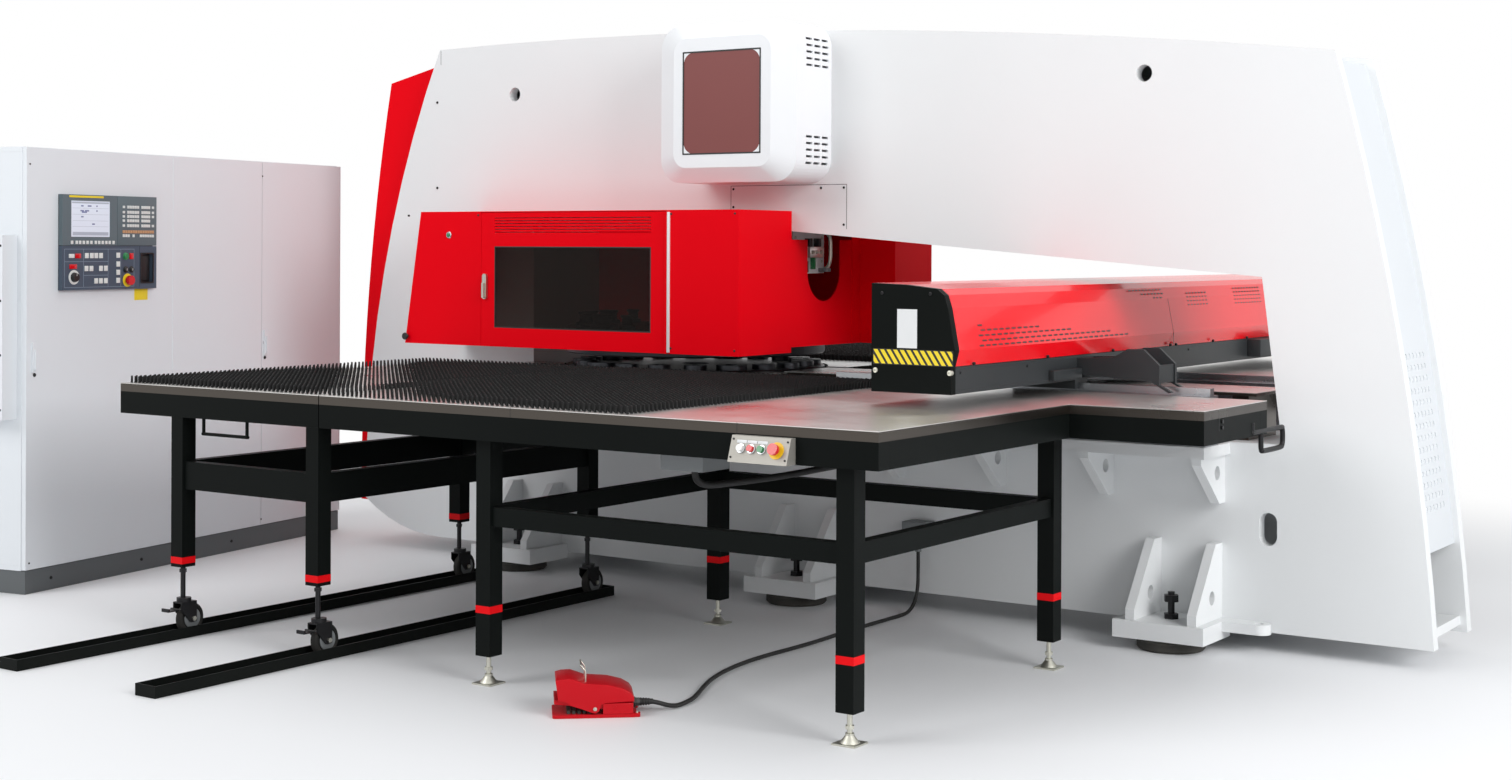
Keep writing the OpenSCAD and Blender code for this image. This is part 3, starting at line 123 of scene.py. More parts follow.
def through(points, steps):
    """Points of a smooth curve through the given ones, ends included."""
    out = []
    for i in range(len(points) - 1):
        a, b = points[max(i - 1, 0)], points[i]
        c, d = points[i + 1], points[min(i + 2, len(points) - 1)]
        for k in range(steps):
            t = k / steps
            out.append(0.5 * (2 * b + (c - a) * t + (2 * a - 5 * b + 4 * c - d) * t * t
                              + (3 * b - a - 3 * c + d) * t ** 3))
    return out + [points[-1]]


def round_line(name, points, radius, resolution, material):
    """An object with the given round thickness along some points, closed at both ends."""
    curve = bpy.data.curves.new(name, "CURVE")
    curve.dimensions, curve.bevel_depth, curve.bevel_resolution = "3D", radius, resolution
    curve.use_fill_caps = True
    line = curve.splines.new("POLY")
    line.points.add(len(points) - 1)
    for point, place in zip(line.points, points):
        point.co = (*place, 1)
    curve.materials.append(material)
    return add_object(name, curve)


cord_points = through([spot(*p) for p in CORD_ROUTE], 4)
cord = round_line("foot_cord", cord_points, CORD_RADIUS, 4, bpy.data.materials.new("cord_rubber"))
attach(cord, "machine")
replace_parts(cord, "pedal_cord")

# %% [markdown]
# Materials come from a few node groups that are built once: sprayed paint with a fine orange peel, the
# lines of brushed steel, and dust that settles on upward faces and near the floor. A group gives masks and
# heights only. The shader, its gloss and its metal stay in each material.

# %% Helpers for node trees


def linear(r, g, b):
    """A colour as seen on a screen, 0 to 255, turned into the linear values that shaders use."""
    def one(c):
        c /= 255
        return c / 12.92 if c <= 0.04045 else ((c + 0.055) / 1.055) ** 2.4
    return (one(r), one(g), one(b), 1.0)


def start_group(name, inputs, outputs):
    """An empty shader group with its sockets, given as (name, kind, default) and (name, kind)."""
    group = bpy.data.node_groups.new(name, "ShaderNodeTree")
    for title, kind, value in inputs:
        socket = group.interface.new_socket(title, in_out="INPUT", socket_type="NodeSocket" + kind)
        socket.default_value = value
    for title, kind in outputs:
        group.interface.new_socket(title, in_out="OUTPUT", socket_type="NodeSocket" + kind)
    return group, group.nodes.new("NodeGroupInput").outputs, group.nodes.new("NodeGroupOutput").inputs


def feed(tree, socket, value):
    """Links another node's output to an input socket, or gives it a plain value."""
    if isinstance(value, bpy.types.NodeSocket):
        tree.links.new(value, socket)
    else:
        socket.default_value = value


def math_node(tree, operation, a, b, clamp=False):
    """A Math node on two inputs, each a socket or a number."""
    node = tree.nodes.new("ShaderNodeMath")
    node.operation, node.use_clamp = operation, clamp
    feed(tree, node.inputs[0], a)
    feed(tree, node.inputs[1], b)
    return node.outputs[0]


def noise_node(tree, vector, scale, detail):
    """A Noise texture on a vector socket, with its scale a socket or a number."""
    node = tree.nodes.new("ShaderNodeTexNoise")
    for title, value in (("Vector", vector), ("Scale", scale), ("Detail", detail)):
        feed(tree, node.inputs[title], value)
    return node.outputs["Fac"]


def mix_node(tree, share, a, b):
    """A mix of two colours, each a socket or a colour."""
    node = tree.nodes.new("ShaderNodeMix")
    node.data_type = "RGBA"
    for title, value in (("Factor", share), ("A", a), ("B", b)):
        feed(tree, node.inputs[title], value)
    return node.outputs["Result"]


def place_on(tree):
    """The place on the piece, in its object's own coordinates."""
    return tree.nodes.new("ShaderNodeTexCoord").outputs["Object"]


def z_of(tree, vector):
    """The upward part of a vector socket."""
    parts = tree.nodes.new("ShaderNodeSeparateXYZ")
    tree.links.new(vector, parts.inputs[0])
    return parts.outputs["Z"]


def facing_up(tree):
    """How far the surface faces upwards: 1 on a floor, 0 on a wall."""
    return z_of(tree, tree.nodes.new("ShaderNodeNewGeometry").outputs["Normal"])


# %% Node group: sprayed paint
sprayed, given, result = start_group(
    "sprayed_paint",
    [("Peel Scale", "Float", 220.0), ("Cloud Scale", "Float", 1.4)],
    [("Peel", "Float"), ("Cloud", "Float")])
coords = place_on(sprayed)
feed(sprayed, result["Peel"], noise_node(sprayed, coords, given["Peel Scale"], 1.0))
feed(sprayed, result["Cloud"], noise_node(sprayed, coords, given["Cloud Scale"], 4.0))

# %% Node group: brushed lines
brushed, given, result = start_group(
    "brushed_lines",
    [("Stretch", "Vector", (3.0, 260.0, 260.0))],
    [("Lines", "Float"), ("Smudge", "Float")])
coords = place_on(brushed)
stretched = brushed.nodes.new("ShaderNodeVectorMath")
stretched.operation = "MULTIPLY"
feed(brushed, stretched.inputs[0], coords)
feed(brushed, stretched.inputs[1], given["Stretch"])
feed(brushed, result["Lines"], noise_node(brushed, stretched.outputs[0], 1.0, 3.0))
feed(brushed, result["Smudge"], noise_node(brushed, coords, 2.3, 5.0))

# %% Node group: settled dust
dusty, given, result = start_group(
    "settled_dust",
    [("Paint", "Color", (0.5, 0.5, 0.5, 1)), ("Dust", "Color", linear(150, 146, 138)),
     ("Amount", "Float", 0.3), ("Floor Height", "Float", 0.35)],
    [("Color", "Color"), ("Mask", "Float")])
coords = place_on(dusty)
patches = noise_node(dusty, coords, 9.0, 6.0)
upward = math_node(dusty, "MULTIPLY", math_node(dusty, "MAXIMUM", facing_up(dusty), 0.0), patches)
height_share = math_node(dusty, "DIVIDE", z_of(dusty, coords), given["Floor Height"])
near_floor = math_node(dusty, "SUBTRACT", 1.0, height_share, clamp=True)
splash = math_node(dusty, "MULTIPLY", math_node(dusty, "POWER", near_floor, 2.0), patches)
mask = math_node(dusty, "MULTIPLY", math_node(dusty, "ADD", upward, splash), given["Amount"], clamp=True)
feed(dusty, result["Color"], mix_node(dusty, mask, given["Paint"], given["Dust"]))
feed(dusty, result["Mask"], mask)
print("groups:", [g.name for g in bpy.data.node_groups])

# %% [markdown]
# `finish` builds one material. It starts from a plain colour, lets a group vary it slightly, breaks up the
# roughness so that reflections look like a worked surface, and gives the bump a real depth in metres.

# %% One function for every finish
FINISHES = {}
LACQUER_ROUGHNESS, DUST_DULLS = 0.06, 0.4


def use_group(tree, group, **values):
    """Places a node group in a material, with its own values, and returns its outputs."""
    node = tree.nodes.new("ShaderNodeGroup")
    node.node_tree = group
    for title, value in values.items():
        feed(tree, node.inputs[title.replace("_", " ")], value)
    return node.outputs


def finish(name, rgb, rough, play, metal=0.0, peel=0.0, peel_scale=220.0, cloud=0.06, coat=0.0,
           stretch=None, dust=0.15, specular=0.5, glow=0.0, clear=0.0, floor_height=0.35):
    """A Principled material: colour, roughness with its play, bump depth in metres, dust and gloss."""
    material = bpy.data.materials.get(name) or bpy.data.materials.new(name)
    FINISHES[name] = material
    material.use_nodes = True
    tree, colour = material.node_tree, linear(*rgb)
    sockets = tree.nodes["Principled BSDF"].inputs
    for title, value in (("Metallic", metal), ("Coat Weight", coat), ("Coat Roughness", LACQUER_ROUGHNESS),
                         ("Specular IOR Level", specular), ("Transmission Weight", clear)):
        sockets[title].default_value = value
    if stretch:
        surface = use_group(tree, brushed, Stretch=stretch)
        fine, broad = surface["Lines"], surface["Smudge"]
    else:
        surface = use_group(tree, sprayed, Peel_Scale=peel_scale)
        fine, broad = surface["Peel"], surface["Cloud"]
    shade = mix_node(tree, fine if stretch else broad, [c * (1 - cloud) for c in colour[:3]] + [1],
                     [min(1, c * (1 + cloud)) for c in colour[:3]] + [1])
    layer = use_group(tree, dusty, Paint=shade, Amount=dust, Floor_Height=floor_height)
    feed(tree, sockets["Base Color"], layer["Color"])
    change = math_node(tree, "MULTIPLY", math_node(tree, "SUBTRACT", broad, 0.5), play * 2)
    dulled = math_node(tree, "MULTIPLY", layer["Mask"], DUST_DULLS)
    level = math_node(tree, "ADD", math_node(tree, "ADD", change, rough), dulled, clamp=True)
    feed(tree, sockets["Roughness"], level)
    if peel:
        bump = tree.nodes.new("ShaderNodeBump")
        for title, value in (("Strength", 1.0), ("Distance", peel), ("Height", fine)):
            feed(tree, bump.inputs[title], value)
        feed(tree, sockets["Normal"], bump.outputs["Normal"])
    if glow:
        sockets["Emission Color"].default_value = colour
        sockets["Emission Strength"].default_value = glow


# %% [markdown]
# The machine wears four paints: a semi-gloss white on the frame, a gloss red on guards and covers, a satin
# black on the tables and a dark grey on the crossbeam. The cabinet has a textured powder coat. Bare metal
# is brushed along the sheet on table tops, turned on the turret, zinc-plated on the levelling feet.

# %% Paints
finish("frame_white", (230, 232, 233), 0.38, 0.06, peel=0.00003, cloud=0.02, specular=0.2, dust=0.08)
finish("vent_paint", (214, 218, 222), 0.45, 0.06, peel=0.00003, dust=0.1)
finish("hood_white", (238, 240, 243), 0.28, 0.05, peel=0.00002, cloud=0.015, coat=0.4, dust=0.05)
finish("guard_red", (236, 1, 20), 0.42, 0.05, peel=0.00002, cloud=0.03, dust=0.0, specular=0.045)
finish("cover_red", (236, 4, 22), 0.26, 0.05, peel=0.00002, cloud=0.04, coat=0.35, dust=0.0, specular=0.3)
finish("table_black", (15, 18, 17), 0.42, 0.08, peel=0.00006, cloud=0.25, specular=0.05, dust=0.02,
       floor_height=0.2)
finish("beam_paint", (50, 53, 55), 0.42, 0.08, peel=0.00005, cloud=0.1, specular=0.2, dust=0.02)
finish("powder_white", (224, 228, 232), 0.5, 0.05, peel=0.00012, peel_scale=420.0, cloud=0.015, dust=0.08)
finish("plinth_grey", (92, 96, 98), 0.55, 0.08, peel=0.0001, peel_scale=420.0, dust=0.2)
finish("cast_red", (188, 4, 22), 0.35, 0.1, peel=0.0004, peel_scale=90.0, coat=0.12, dust=0.03,
       specular=0.1)
finish("band_red", (228, 8, 18), 0.4, 0.05, specular=0.1, dust=0.03)
finish("stripe_yellow", (240, 214, 40), 0.45, 0.06, cloud=0.04, dust=0.1)
finish("stripe_black", (18, 18, 19), 0.45, 0.06, dust=0.1)
finish("label_white", (226, 228, 230), 0.5, 0.05, dust=0.05)

# %% Bare and plated metal
finish("sheet_steel", (222, 220, 217), 0.3, 0.14, metal=1.0, peel=0.00005, cloud=0.2,
       stretch=(3.0, 300.0, 300.0), dust=0.06)
finish("cross_steel", (214, 214, 212), 0.28, 0.14, metal=1.0, peel=0.00005, cloud=0.2,
       stretch=(300.0, 3.0, 300.0), dust=0.06)
finish("ground_metal", (165, 168, 172), 0.28, 0.1, metal=1.0, peel=0.00002,
       stretch=(4.0, 400.0, 400.0), dust=0.05)
finish("turned_steel", (74, 76, 80), 0.35, 0.1, metal=1.0, peel=0.00003, cloud=0.15,
       stretch=(30.0, 30.0, 500.0), dust=0.08)
finish("tool_metal", (64, 66, 70), 0.3, 0.12, metal=1.0, cloud=0.2, peel_scale=60.0)
finish("zinc_plate", (198, 197, 186), 0.36, 0.12, metal=1.0, peel=0.00008, peel_scale=120.0, cloud=0.12,
       dust=0.1, floor_height=0.1)
finish("oxide_black", (38, 38, 40), 0.4, 0.1, metal=0.7, peel=0.00006, peel_scale=160.0, cloud=0.15,
       dust=0.15, floor_height=0.1)
finish("plate_steel", (158, 155, 148), 0.5, 0.08, metal=0.6, peel=0.00003, cloud=0.06,
       stretch=(4.0, 300.0, 300.0), dust=0.04)
finish("chrome_bright", (214, 216, 218), 0.16, 0.06, metal=1.0, cloud=0.03, dust=0.02)

# %% Rubber, plastics and glass
COATED_PANE_IOR = 1.14
finish("tyre_rubber", (24, 24, 24), 0.75, 0.1, peel=0.0002, peel_scale=300.0, cloud=0.2, specular=0.3,
       dust=0.35, floor_height=0.12)
finish("cord_rubber", (18, 18, 19), 0.55, 0.08, peel=0.0001, peel_scale=500.0, cloud=0.1, dust=0.08,
       floor_height=0.02)
finish("dark_plastic", (22, 22, 23), 0.45, 0.1, peel=0.0001, peel_scale=380.0, cloud=0.1)
finish("bristle_black", (9, 9, 10), 0.62, 0.1, cloud=0.3, specular=0.3, dust=0.03)
finish("panel_slate", (92, 106, 112), 0.5, 0.06, peel=0.00006, peel_scale=500.0, cloud=0.05)
finish("box_grey", (120, 124, 126), 0.45, 0.08, peel=0.00008, cloud=0.06, dust=0.12)
finish("key_white", (222, 224, 222), 0.45, 0.05, dust=0.04)
finish("key_tan", (196, 150, 112), 0.45, 0.05, dust=0.04)
finish("button_red", (206, 14, 24), 0.25, 0.05, coat=0.6, dust=0.03)
finish("button_green", (20, 128, 70), 0.28, 0.05, coat=0.5, dust=0.03)
finish("button_white", (226, 227, 224), 0.28, 0.05, coat=0.5, dust=0.03)
finish("ring_yellow", (240, 196, 30), 0.4, 0.05, dust=0.05)
finish("hood_window", (118, 46, 42), 0.32, 0.06, cloud=0.05, coat=0.3, dust=0.02)
finish("screen_glow", (206, 214, 226), 0.15, 0.03, glow=0.25, dust=0.0)
finish("smoked_glass", (116, 106, 100), 0.04, 0.02, specular=0.1, clear=0.97, cloud=0.0, dust=0.0)
glass_shader = FINISHES["smoked_glass"].node_tree.nodes["Principled BSDF"]
glass_shader.inputs["IOR"].default_value = COATED_PANE_IOR
print(len(bpy.data.materials), "materials")

# %% [markdown]
# A few castings were modelled as one solid but carry two paints, such as the cabinet on its dark plinth.
# For those a height in the object's own coordinates switches between two colours at a sharp line. The steel
# sheets differ too: their top is polished by use, and their upright faces get a painted shade, a darker
# brown-grey below a thin band at the top that keeps the steel's colour. There the surface normal does the
# switching.

# %% Two finishes on one solid
# The second height is where the painted shade on the steels' upright faces stops.
PLINTH_TOP, SIDE_SHADE_TOP = 0.0945, 0.8978


def base_colour(tree):
    """The Base Color socket of a finish, and the socket that feeds it."""
    socket = tree.nodes["Principled BSDF"].inputs["Base Color"]
    return socket, socket.links[0].from_socket


def split_by_height(name, low_finish, high_finish, z):
    """Copies the upper finish and gives everything below z metres the lower one's colour."""
    material = FINISHES[high_finish].copy()
    material.name = name
    FINISHES[name] = material
    tree = material.node_tree
    socket, colour = base_colour(tree)
    below = next(n for n in FINISHES[low_finish].node_tree.nodes if n.type == "MIX")
    over = math_node(tree, "GREATER_THAN", z_of(tree, place_on(tree)), z)
    feed(tree, socket, mix_node(tree, over, below.inputs["A"].default_value, colour))


def paint_side_shade(name, shade_rgb):
    """Paints shade on the upright faces of a sheet: a darker colour below a thin top band, which keeps the
    sheet's own colour.
    """
    tree = FINISHES[name].node_tree
    socket, colour = base_colour(tree)
    # Painted shade: upright faces below the top band take the darker colour.
    upright = math_node(tree, "MULTIPLY", math_node(tree, "LESS_THAN", facing_up(tree), 0.5),
                        math_node(tree, "LESS_THAN", z_of(tree, place_on(tree)), SIDE_SHADE_TOP))
    feed(tree, socket, mix_node(tree, upright, colour, linear(*shade_rgb)))


split_by_height("cabinet_paint", "plinth_grey", "powder_white", PLINTH_TOP)
# The darker rolled edges named in the print below are painted shade on the steels' upright faces.
for steel in ("sheet_steel", "cross_steel"):
    paint_side_shade(steel, (84, 79, 74))
print("split finishes: the cabinet's paint and the rolled edges of two steels")

# %% [markdown]
# Every node of the loaded model gets its finish here. The table is the painter's list.

# %% Paint the loaded nodes
PAINT_LIST = {
    "frame_white": "near_side_plate far_side_plate frame_webs guide_ledges foot_brackets",
    "vent_paint": "rear_cover",
    "hood_white": "motor_housing",
    "hood_window": "motor_window",
    "guard_red": "nose_cover turret_guard far_guard guard_door",
    "cover_red": "crossbeam_cover",
    "table_black": "fixed_table_frame far_table_frame roll_table_frame floor_channels crossbeam_ends",
    "beam_paint": "crossbeam carriage",
    "sheet_steel": "fixed_table_top roll_table_top far_table_top",
    "cross_steel": "centre_table",
    "ground_metal": "turret_spindles striker guide_rails clamp_jaws",
    "turned_steel": "upper_turret lower_turret",
    "tool_metal": "punch_tools",
    "zinc_plate": "levelling_feet door_latch",
    "plate_steel": "button_box",
    "oxide_black": "jack_bolts caster_forks brake_pedal_1 brake_pedal_2",
    "tyre_rubber": "foot_pads caster_wheel_1 caster_wheel_2 caster_wheel_3 caster_wheel_4",
    "cord_rubber": "pedal_cord",
    "bristle_black": "fixed_table_brushes roll_table_brushes",
    "panel_slate": "control_panel",
    "box_grey": "junction_box",
    "cast_red": "pedal_base pedal_treadle",
    "cabinet_paint": "cabinet_body",
    "powder_white": "cabinet_door_1 cabinet_door_2",
    "screen_glow": "panel_screen",
    "smoked_glass": "door_glass",
    "button_red": "stop_button table_estop panel_estop",
    "button_green": "reset_button",
    "button_white": "start_button",
}
painted = {node: finish_name for finish_name, nodes in PAINT_LIST.items() for node in nodes.split()}
for node, finish_name in painted.items():
    mesh = NODES[node].data
    mesh.materials.clear()
    mesh.materials.append(FINISHES[finish_name])
print("nodes without a finish:", sorted(set(NODES) - set(painted)))

# %% [markdown]
# New pieces are drawn with bmesh operators. These helpers round edges, move what an operator has just made,
# and turn a finished bmesh into an object at the origin, tied to the body of the machine that carries it.

# %% Helpers for new pieces


def rounded(bm, edges, radius, segments=2):
    """Rounds some edges."""
    bmesh.ops.bevel(bm, geom=edges, offset=radius, segments=segments, profile=0.5, affect="EDGES",
                    material=-1, clamp_overlap=True)


def upright_edges(bm):
    return [e for e in bm.edges if abs((e.verts[0].co - e.verts[1].co).normalized().z) > 0.9]


def shifted(bm, geom, step):
    """Moves the vertices among some geometry."""
    bmesh.ops.translate(bm, vec=step, verts=[g for g in geom if isinstance(g, bmesh.types.BMVert)])


def make_piece(name, bm, finishes, body, smooth=35):
    """Turns a bmesh into a piece at the origin that rides on a body, with its finishes named in a row."""
    mesh = bpy.data.meshes.new(name)
    bm.to_mesh(mesh)
    bm.free()
    for one in finishes.split():
        mesh.materials.append(FINISHES[one])
    if smooth:
        mesh.shade_smooth()
        mesh.set_sharp_from_angle(angle=math.radians(smooth))
    piece = add_object(name, mesh)
    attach(piece, body)
    print(name + ":", len(mesh.polygons), "faces")
    return piece


# %% [markdown]
# ## The brush tops
# Sheets glide on nylon tufts that stand in a square grid. One tuft is a five-sided cone stump. It is
# doubled along a row and then the row is doubled across the table, so thirteen copies make thousands. A
# little noise leans the tips, because worn brushes never stand in perfect lines. Blender seeds that noise
# from the clock, so it gets a seed of its own first, and every run gives the same tufts.

# %% Brush tufts
TUFT_PITCH, TUFT_LOW, TUFT_HIGH = 21.0, 900.0, 924.0
TUFT_FOOT, TUFT_TIP = 0.0048, 0.0036
LEAN_SCALE, LEAN = 31.0, (0.0022, 0.0022, 0.0012)
LEAN_SEED = 7
noise.seed_set(LEAN_SEED)


def repeat(bm, step, count):
    """Repeats all geometry `count` times along a step, by doubling what is there."""
    have = 1
    while have < count:
        add = min(have, count - have)
        source = bm.verts[:] + bm.edges[:] + bm.faces[:]
        if add < have:
            keep = set(bm.verts[:len(bm.verts) // have * add])
            source = [g for g in source if (g in keep if isinstance(g, bmesh.types.BMVert)
                                            else all(v in keep for v in g.verts))]
        shifted(bm, bmesh.ops.duplicate(bm, geom=source)["geom"], step * have)
        bm.verts.ensure_lookup_table()
        have += add


def brush_top(name, x_span, y_span, body):
    """A field of tufts on a table, over the given spans of the drawing."""
    bm = bmesh.new()
    foot, tip = (spot(x_span[0], y_span[0], z) for z in (TUFT_LOW, TUFT_HIGH))
    bmesh.ops.create_cone(bm, cap_ends=True, segments=5, radius1=TUFT_FOOT, radius2=TUFT_TIP,
                          depth=(tip - foot).length, matrix=Matrix.Translation((foot + tip) / 2))
    bm.verts.ensure_lookup_table()
    across, deep = (int((last - first) / TUFT_PITCH) + 1 for first, last in (x_span, y_span))
    repeat(bm, Vector((TUFT_PITCH / 1000, 0, 0)), across)
    repeat(bm, Vector((0, TUFT_PITCH / 1000, 0)), deep)
    half_way = (TUFT_LOW + TUFT_HIGH) / 2000
    for v in bm.verts:
        if v.co.z > half_way:
            v.co += noise.noise_vector(v.co * LEAN_SCALE) * Vector(LEAN)
    print(name, across, "x", deep, "tufts")
    return make_piece(name, bm, "bristle_black", body, smooth=50)


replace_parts(brush_top("fixed_brush_tufts", (-405, 895), (-2215, -640), "machine"), "fixed_table_brushes")
brush_top("far_brush_tufts", (-1370, 895), (640, 2215), "machine")
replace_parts(brush_top("roll_brush_tufts", (-1440, -435), (-2215, -660), "roll_table"), "roll_table_brushes")

# %% [markdown]
# Most small details sit on a flat face: screws, seams, keys, stripes. A face gets its own frame, with x to
# the right, y up and z out of the surface, all in millimetres. The small shapes are then drawn flat on it,
# as on paper, and the frame's matrix carries them into place. A lathe helper spins a profile, which is how
# such knobs and bezels are really made. Details are sunk a little way into their face, so that no gap shows.

# %% Faces to draw on
MM = Matrix.Diagonal((0.001, 0.001, 0.001, 1))
RIGHT, INTO, UP = Vector((1, 0, 0)), Vector((0, 1, 0)), Vector((0, 0, 1))
SUNK = -0.5


def face_frame(origin, right, up):
    """The frame of a flat face, in millimetres: x runs right, y up, and z out of the face."""
    right, up = right.normalized(), up.normalized()
    turn = Matrix((right, up, right.cross(up))).transposed().to_4x4()
    return Matrix.Translation(origin) @ turn @ MM


def aimed(origin, out):
    """A frame in millimetres whose z points along a direction, for turned shapes."""
    return Matrix.Translation(origin) @ out.to_track_quat("Z", "Y").to_matrix().to_4x4() @ MM


def add_part(bm, part, tint, matrix):
    """Moves a small bmesh into its frame and joins it to the piece, with its material number."""
    for face in part.faces:
        face.material_index = tint
    bmesh.ops.transform(part, matrix=matrix, verts=part.verts)
    if matrix.determinant() < 0:
        bmesh.ops.reverse_faces(part, faces=part.faces)
    mesh = bpy.data.meshes.new("part")
    part.to_mesh(mesh)
    part.free()
    bm.from_mesh(mesh)
    bpy.data.meshes.remove(mesh)


def tile(bm, face, box, low, high, soft=0.0, tint=0, slant=0.0, slab=False):
    """A small plate on a face, from the box (x0, y0, x1, y1). Slant pushes its top edge sideways, and a
    slab has only its upright corners rounded."""
    part = bmesh.new()
    x0, y0, x1, y1 = box
    lean = Matrix(((x1 - x0, slant, 0, 0), (0, y1 - y0, 0, 0), (0, 0, high - low, 0), (0, 0, 0, 1)))
    bmesh.ops.create_cube(part, size=1.0, matrix=Matrix.Translation(
        ((x0 + x1) / 2, (y0 + y1) / 2, (low + high) / 2)) @ lean)
    if slab:
        rounded(part, upright_edges(part), soft, 4)
    elif soft:
        rounded(part, part.edges[:], soft)
    add_part(bm, part, tint, face)


def turned(bm, face, x, y, profile, tint=0, steps=32):
    """A lathe on a face: a profile of (radius, height) spun round the face's own normal."""
    part = bmesh.new()
    verts = [part.verts.new((radius, 0, height)) for radius, height in profile]
    edges = [part.edges.new(pair) for pair in zip(verts, verts[1:])]
    bmesh.ops.spin(part, geom=verts + edges, cent=(0, 0, 0), axis=(0, 0, 1), angle=math.tau, steps=steps,
                   use_merge=True)
    bmesh.ops.remove_doubles(part, verts=part.verts, dist=0.0005)
    bmesh.ops.recalc_face_normals(part, faces=part.faces)
    add_part(bm, part, tint, face @ Matrix.Translation((x, y, 0)))


def framed(bm, face, outer, inner, low, high, corner=0.0, tint=0):
    """A flat frame between two rectangles (x0, y0, x1, y1), bridged and then raised from low to high."""
    part = bmesh.new()
    for x0, y0, x1, y1 in (outer, inner):
        place = Matrix.Translation(((x0 + x1) / 2, (y0 + y1) / 2, low))
        bmesh.ops.create_circle(part, segments=4, radius=math.sqrt(0.5),
                                matrix=place @ Matrix.Diagonal((x1 - x0, y1 - y0, 1, 1))
                                @ Matrix.Rotation(math.pi / 4, 4, "Z"))
    bmesh.ops.bridge_loops(part, edges=part.edges[:])
    shifted(part, bmesh.ops.extrude_face_region(part, geom=part.faces[:])["geom"], (0, 0, high - low))
    if corner:
        rounded(part, upright_edges(part), corner, 5)
    bmesh.ops.recalc_face_normals(part, faces=part.faces)
    add_part(bm, part, tint, face)


# %% The faces of this machine
CABINET_TURN = math.radians(9.97)
CABINET_CORNER = (-2318, -2038)
SCREW_HEAD = [(0, -1), (1, -1), (1, 0.3), (0.93, 0.42), (0.5, 0.5), (0.45, 0.28), (0, 0.28)]


def near_face(y):
    """An upright face that looks at the near side, seen with x to the right."""
    return face_frame(spot(0, y, 0), RIGHT, UP)


def end_face(x):
    """An upright face that looks along the frame, seen with y to the right."""
    return face_frame(spot(x, 0, 0), INTO, UP)


def screws(bm, face, places, radius, tint=0):
    """Socket screws at (x, y) places of a face."""
    for x, y in places:
        turned(bm, face, x, y, [(r * radius, h * radius) for r, h in SCREW_HEAD], tint, 16)


FRAME_SIDE, GUARD_FRONT = near_face(-230), near_face(-608)
TABLE_EDGE, BEAM_END = near_face(-2252), near_face(-1400)
COVER_FOOT, COVER_LEAN = 1082, Vector((-26, 0, 134))
COVER_SLOPE = face_frame(spot(1560, 0, COVER_FOOT), INTO, COVER_LEAN)
COVER_SKIRT = end_face(1560)
BUTTON_FACE = face_frame(spot(0, -2288, 830), RIGHT, Vector((0, 0.309, 0.951)))
CABINET_ALONG = Vector((-math.sin(CABINET_TURN), math.cos(CABINET_TURN), 0))
CABINET_OUT = Vector((math.cos(CABINET_TURN), math.sin(CABINET_TURN), 0))
CABINET_FRONT = face_frame(spot(*CABINET_CORNER, 0), CABINET_ALONG, UP)
print("frame side looks along", [round(v) for v in FRAME_SIDE.col[2].to_3d() * 1000])

# %% [markdown]
# ## Seams and screws on the white frame
# The frame is welded, but cover plates over the throat are screwed on. Their joints show as fine dark
# lines. A thin dark strip, a third of a millimetre proud, reads as a joint from any distance and needs no
# cut in the plate.

# %% Frame seams and screws
bm = bmesh.new()
for box in [(-135.5, 1483, -133.5, 1661), (427, 1483, 429, 1661), (-134.5, 1660, 428, 1662),
            (-1767, 2239, -1765, 2303)]:
    tile(bm, FRAME_SIDE, box, SUNK, 0.35)
screws(bm, FRAME_SIDE, [(-122, 1648), (-122, 1574), (-122, 1500), (307, 1648), (415, 1648), (415, 1500)],
       5, 1)
screws(bm, FRAME_SIDE, [(-1787, 2067), (-1785, 1674)], 6, 1)
make_piece("frame_seams", bm, "stripe_black oxide_black", "machine")

# %% [markdown]
# ## Guard trim
# The glazed door has a rubber gasket round its window, and the guard carries a push button for the lamp
# inside, a round knob low on its left and the screws of its top plate. The gasket is a flat frame between
# two rectangles that fills the edge of the opening in front of the glass.

# %% Window gasket of the guard door
WINDOW = (-1097, 1062, -262, 1407)


def grown(box, by):
    """A rectangle with every side moved outwards."""
    return (box[0] - by, box[1] - by, box[2] + by, box[3] + by)


bm = bmesh.new()
framed(bm, GUARD_FRONT, grown(WINDOW, 0.3), grown(WINDOW, -5), -3.9, 0.15)
make_piece("door_gasket", bm, "dark_plastic", "guard_door")

# %% Closing strip of the door, and gasket of the hood's window
bm = bmesh.new()
tile(bm, GUARD_FRONT, (-176.5, 986, -165.5, 1548), SUNK, 7.6, 0.8)
make_piece("closing_strip", bm, "label_white", "machine")
bm = bmesh.new()
framed(bm, near_face(-530), (-164, 1778, 216, 2192), (-158, 1784, 210, 2186), SUNK, 1.2, 3)
make_piece("hood_gasket", bm, "dark_plastic", "machine")

# %% Button, knob and screws on the guard
LAMP_BUTTON, KNOB = (-1359, 1455), (-1604, 1011)
bm = bmesh.new()
turned(bm, GUARD_FRONT, *LAMP_BUTTON, [(0, -1), (15, -1), (15, 2), (13, 4.5), (9.5, 4.5), (9.5, 3), (0, 3)])
turned(bm, GUARD_FRONT, *LAMP_BUTTON, [(0, 2), (9, 2), (9, 6), (7.5, 7), (0, 7)], 1)
turned(bm, GUARD_FRONT, *KNOB, [(0, -1), (7, -1), (7, 9), (15, 11), (16, 15), (14, 20), (0, 21)], 2)
screws(bm, GUARD_FRONT, [(-1600, 1540), (-1190, 1540), (-160, 1540), (150, 1540), (-160, 1003),
                         (150, 1003)], 4.5, 2)
make_piece("guard_buttons", bm, "chrome_bright button_green dark_plastic", "machine")

# %% [markdown]
# ## Behind the cut-out of the guard
# The side wall of the guard has a rounded cut-out. Through it one sees the punching head: a valve block on
# the striker's guide, two sensors and a braided air hose. Each is bolted to the guide block, so nothing
# floats. The hose is a tube swept along three bends, which a curve with a round bevel does best.

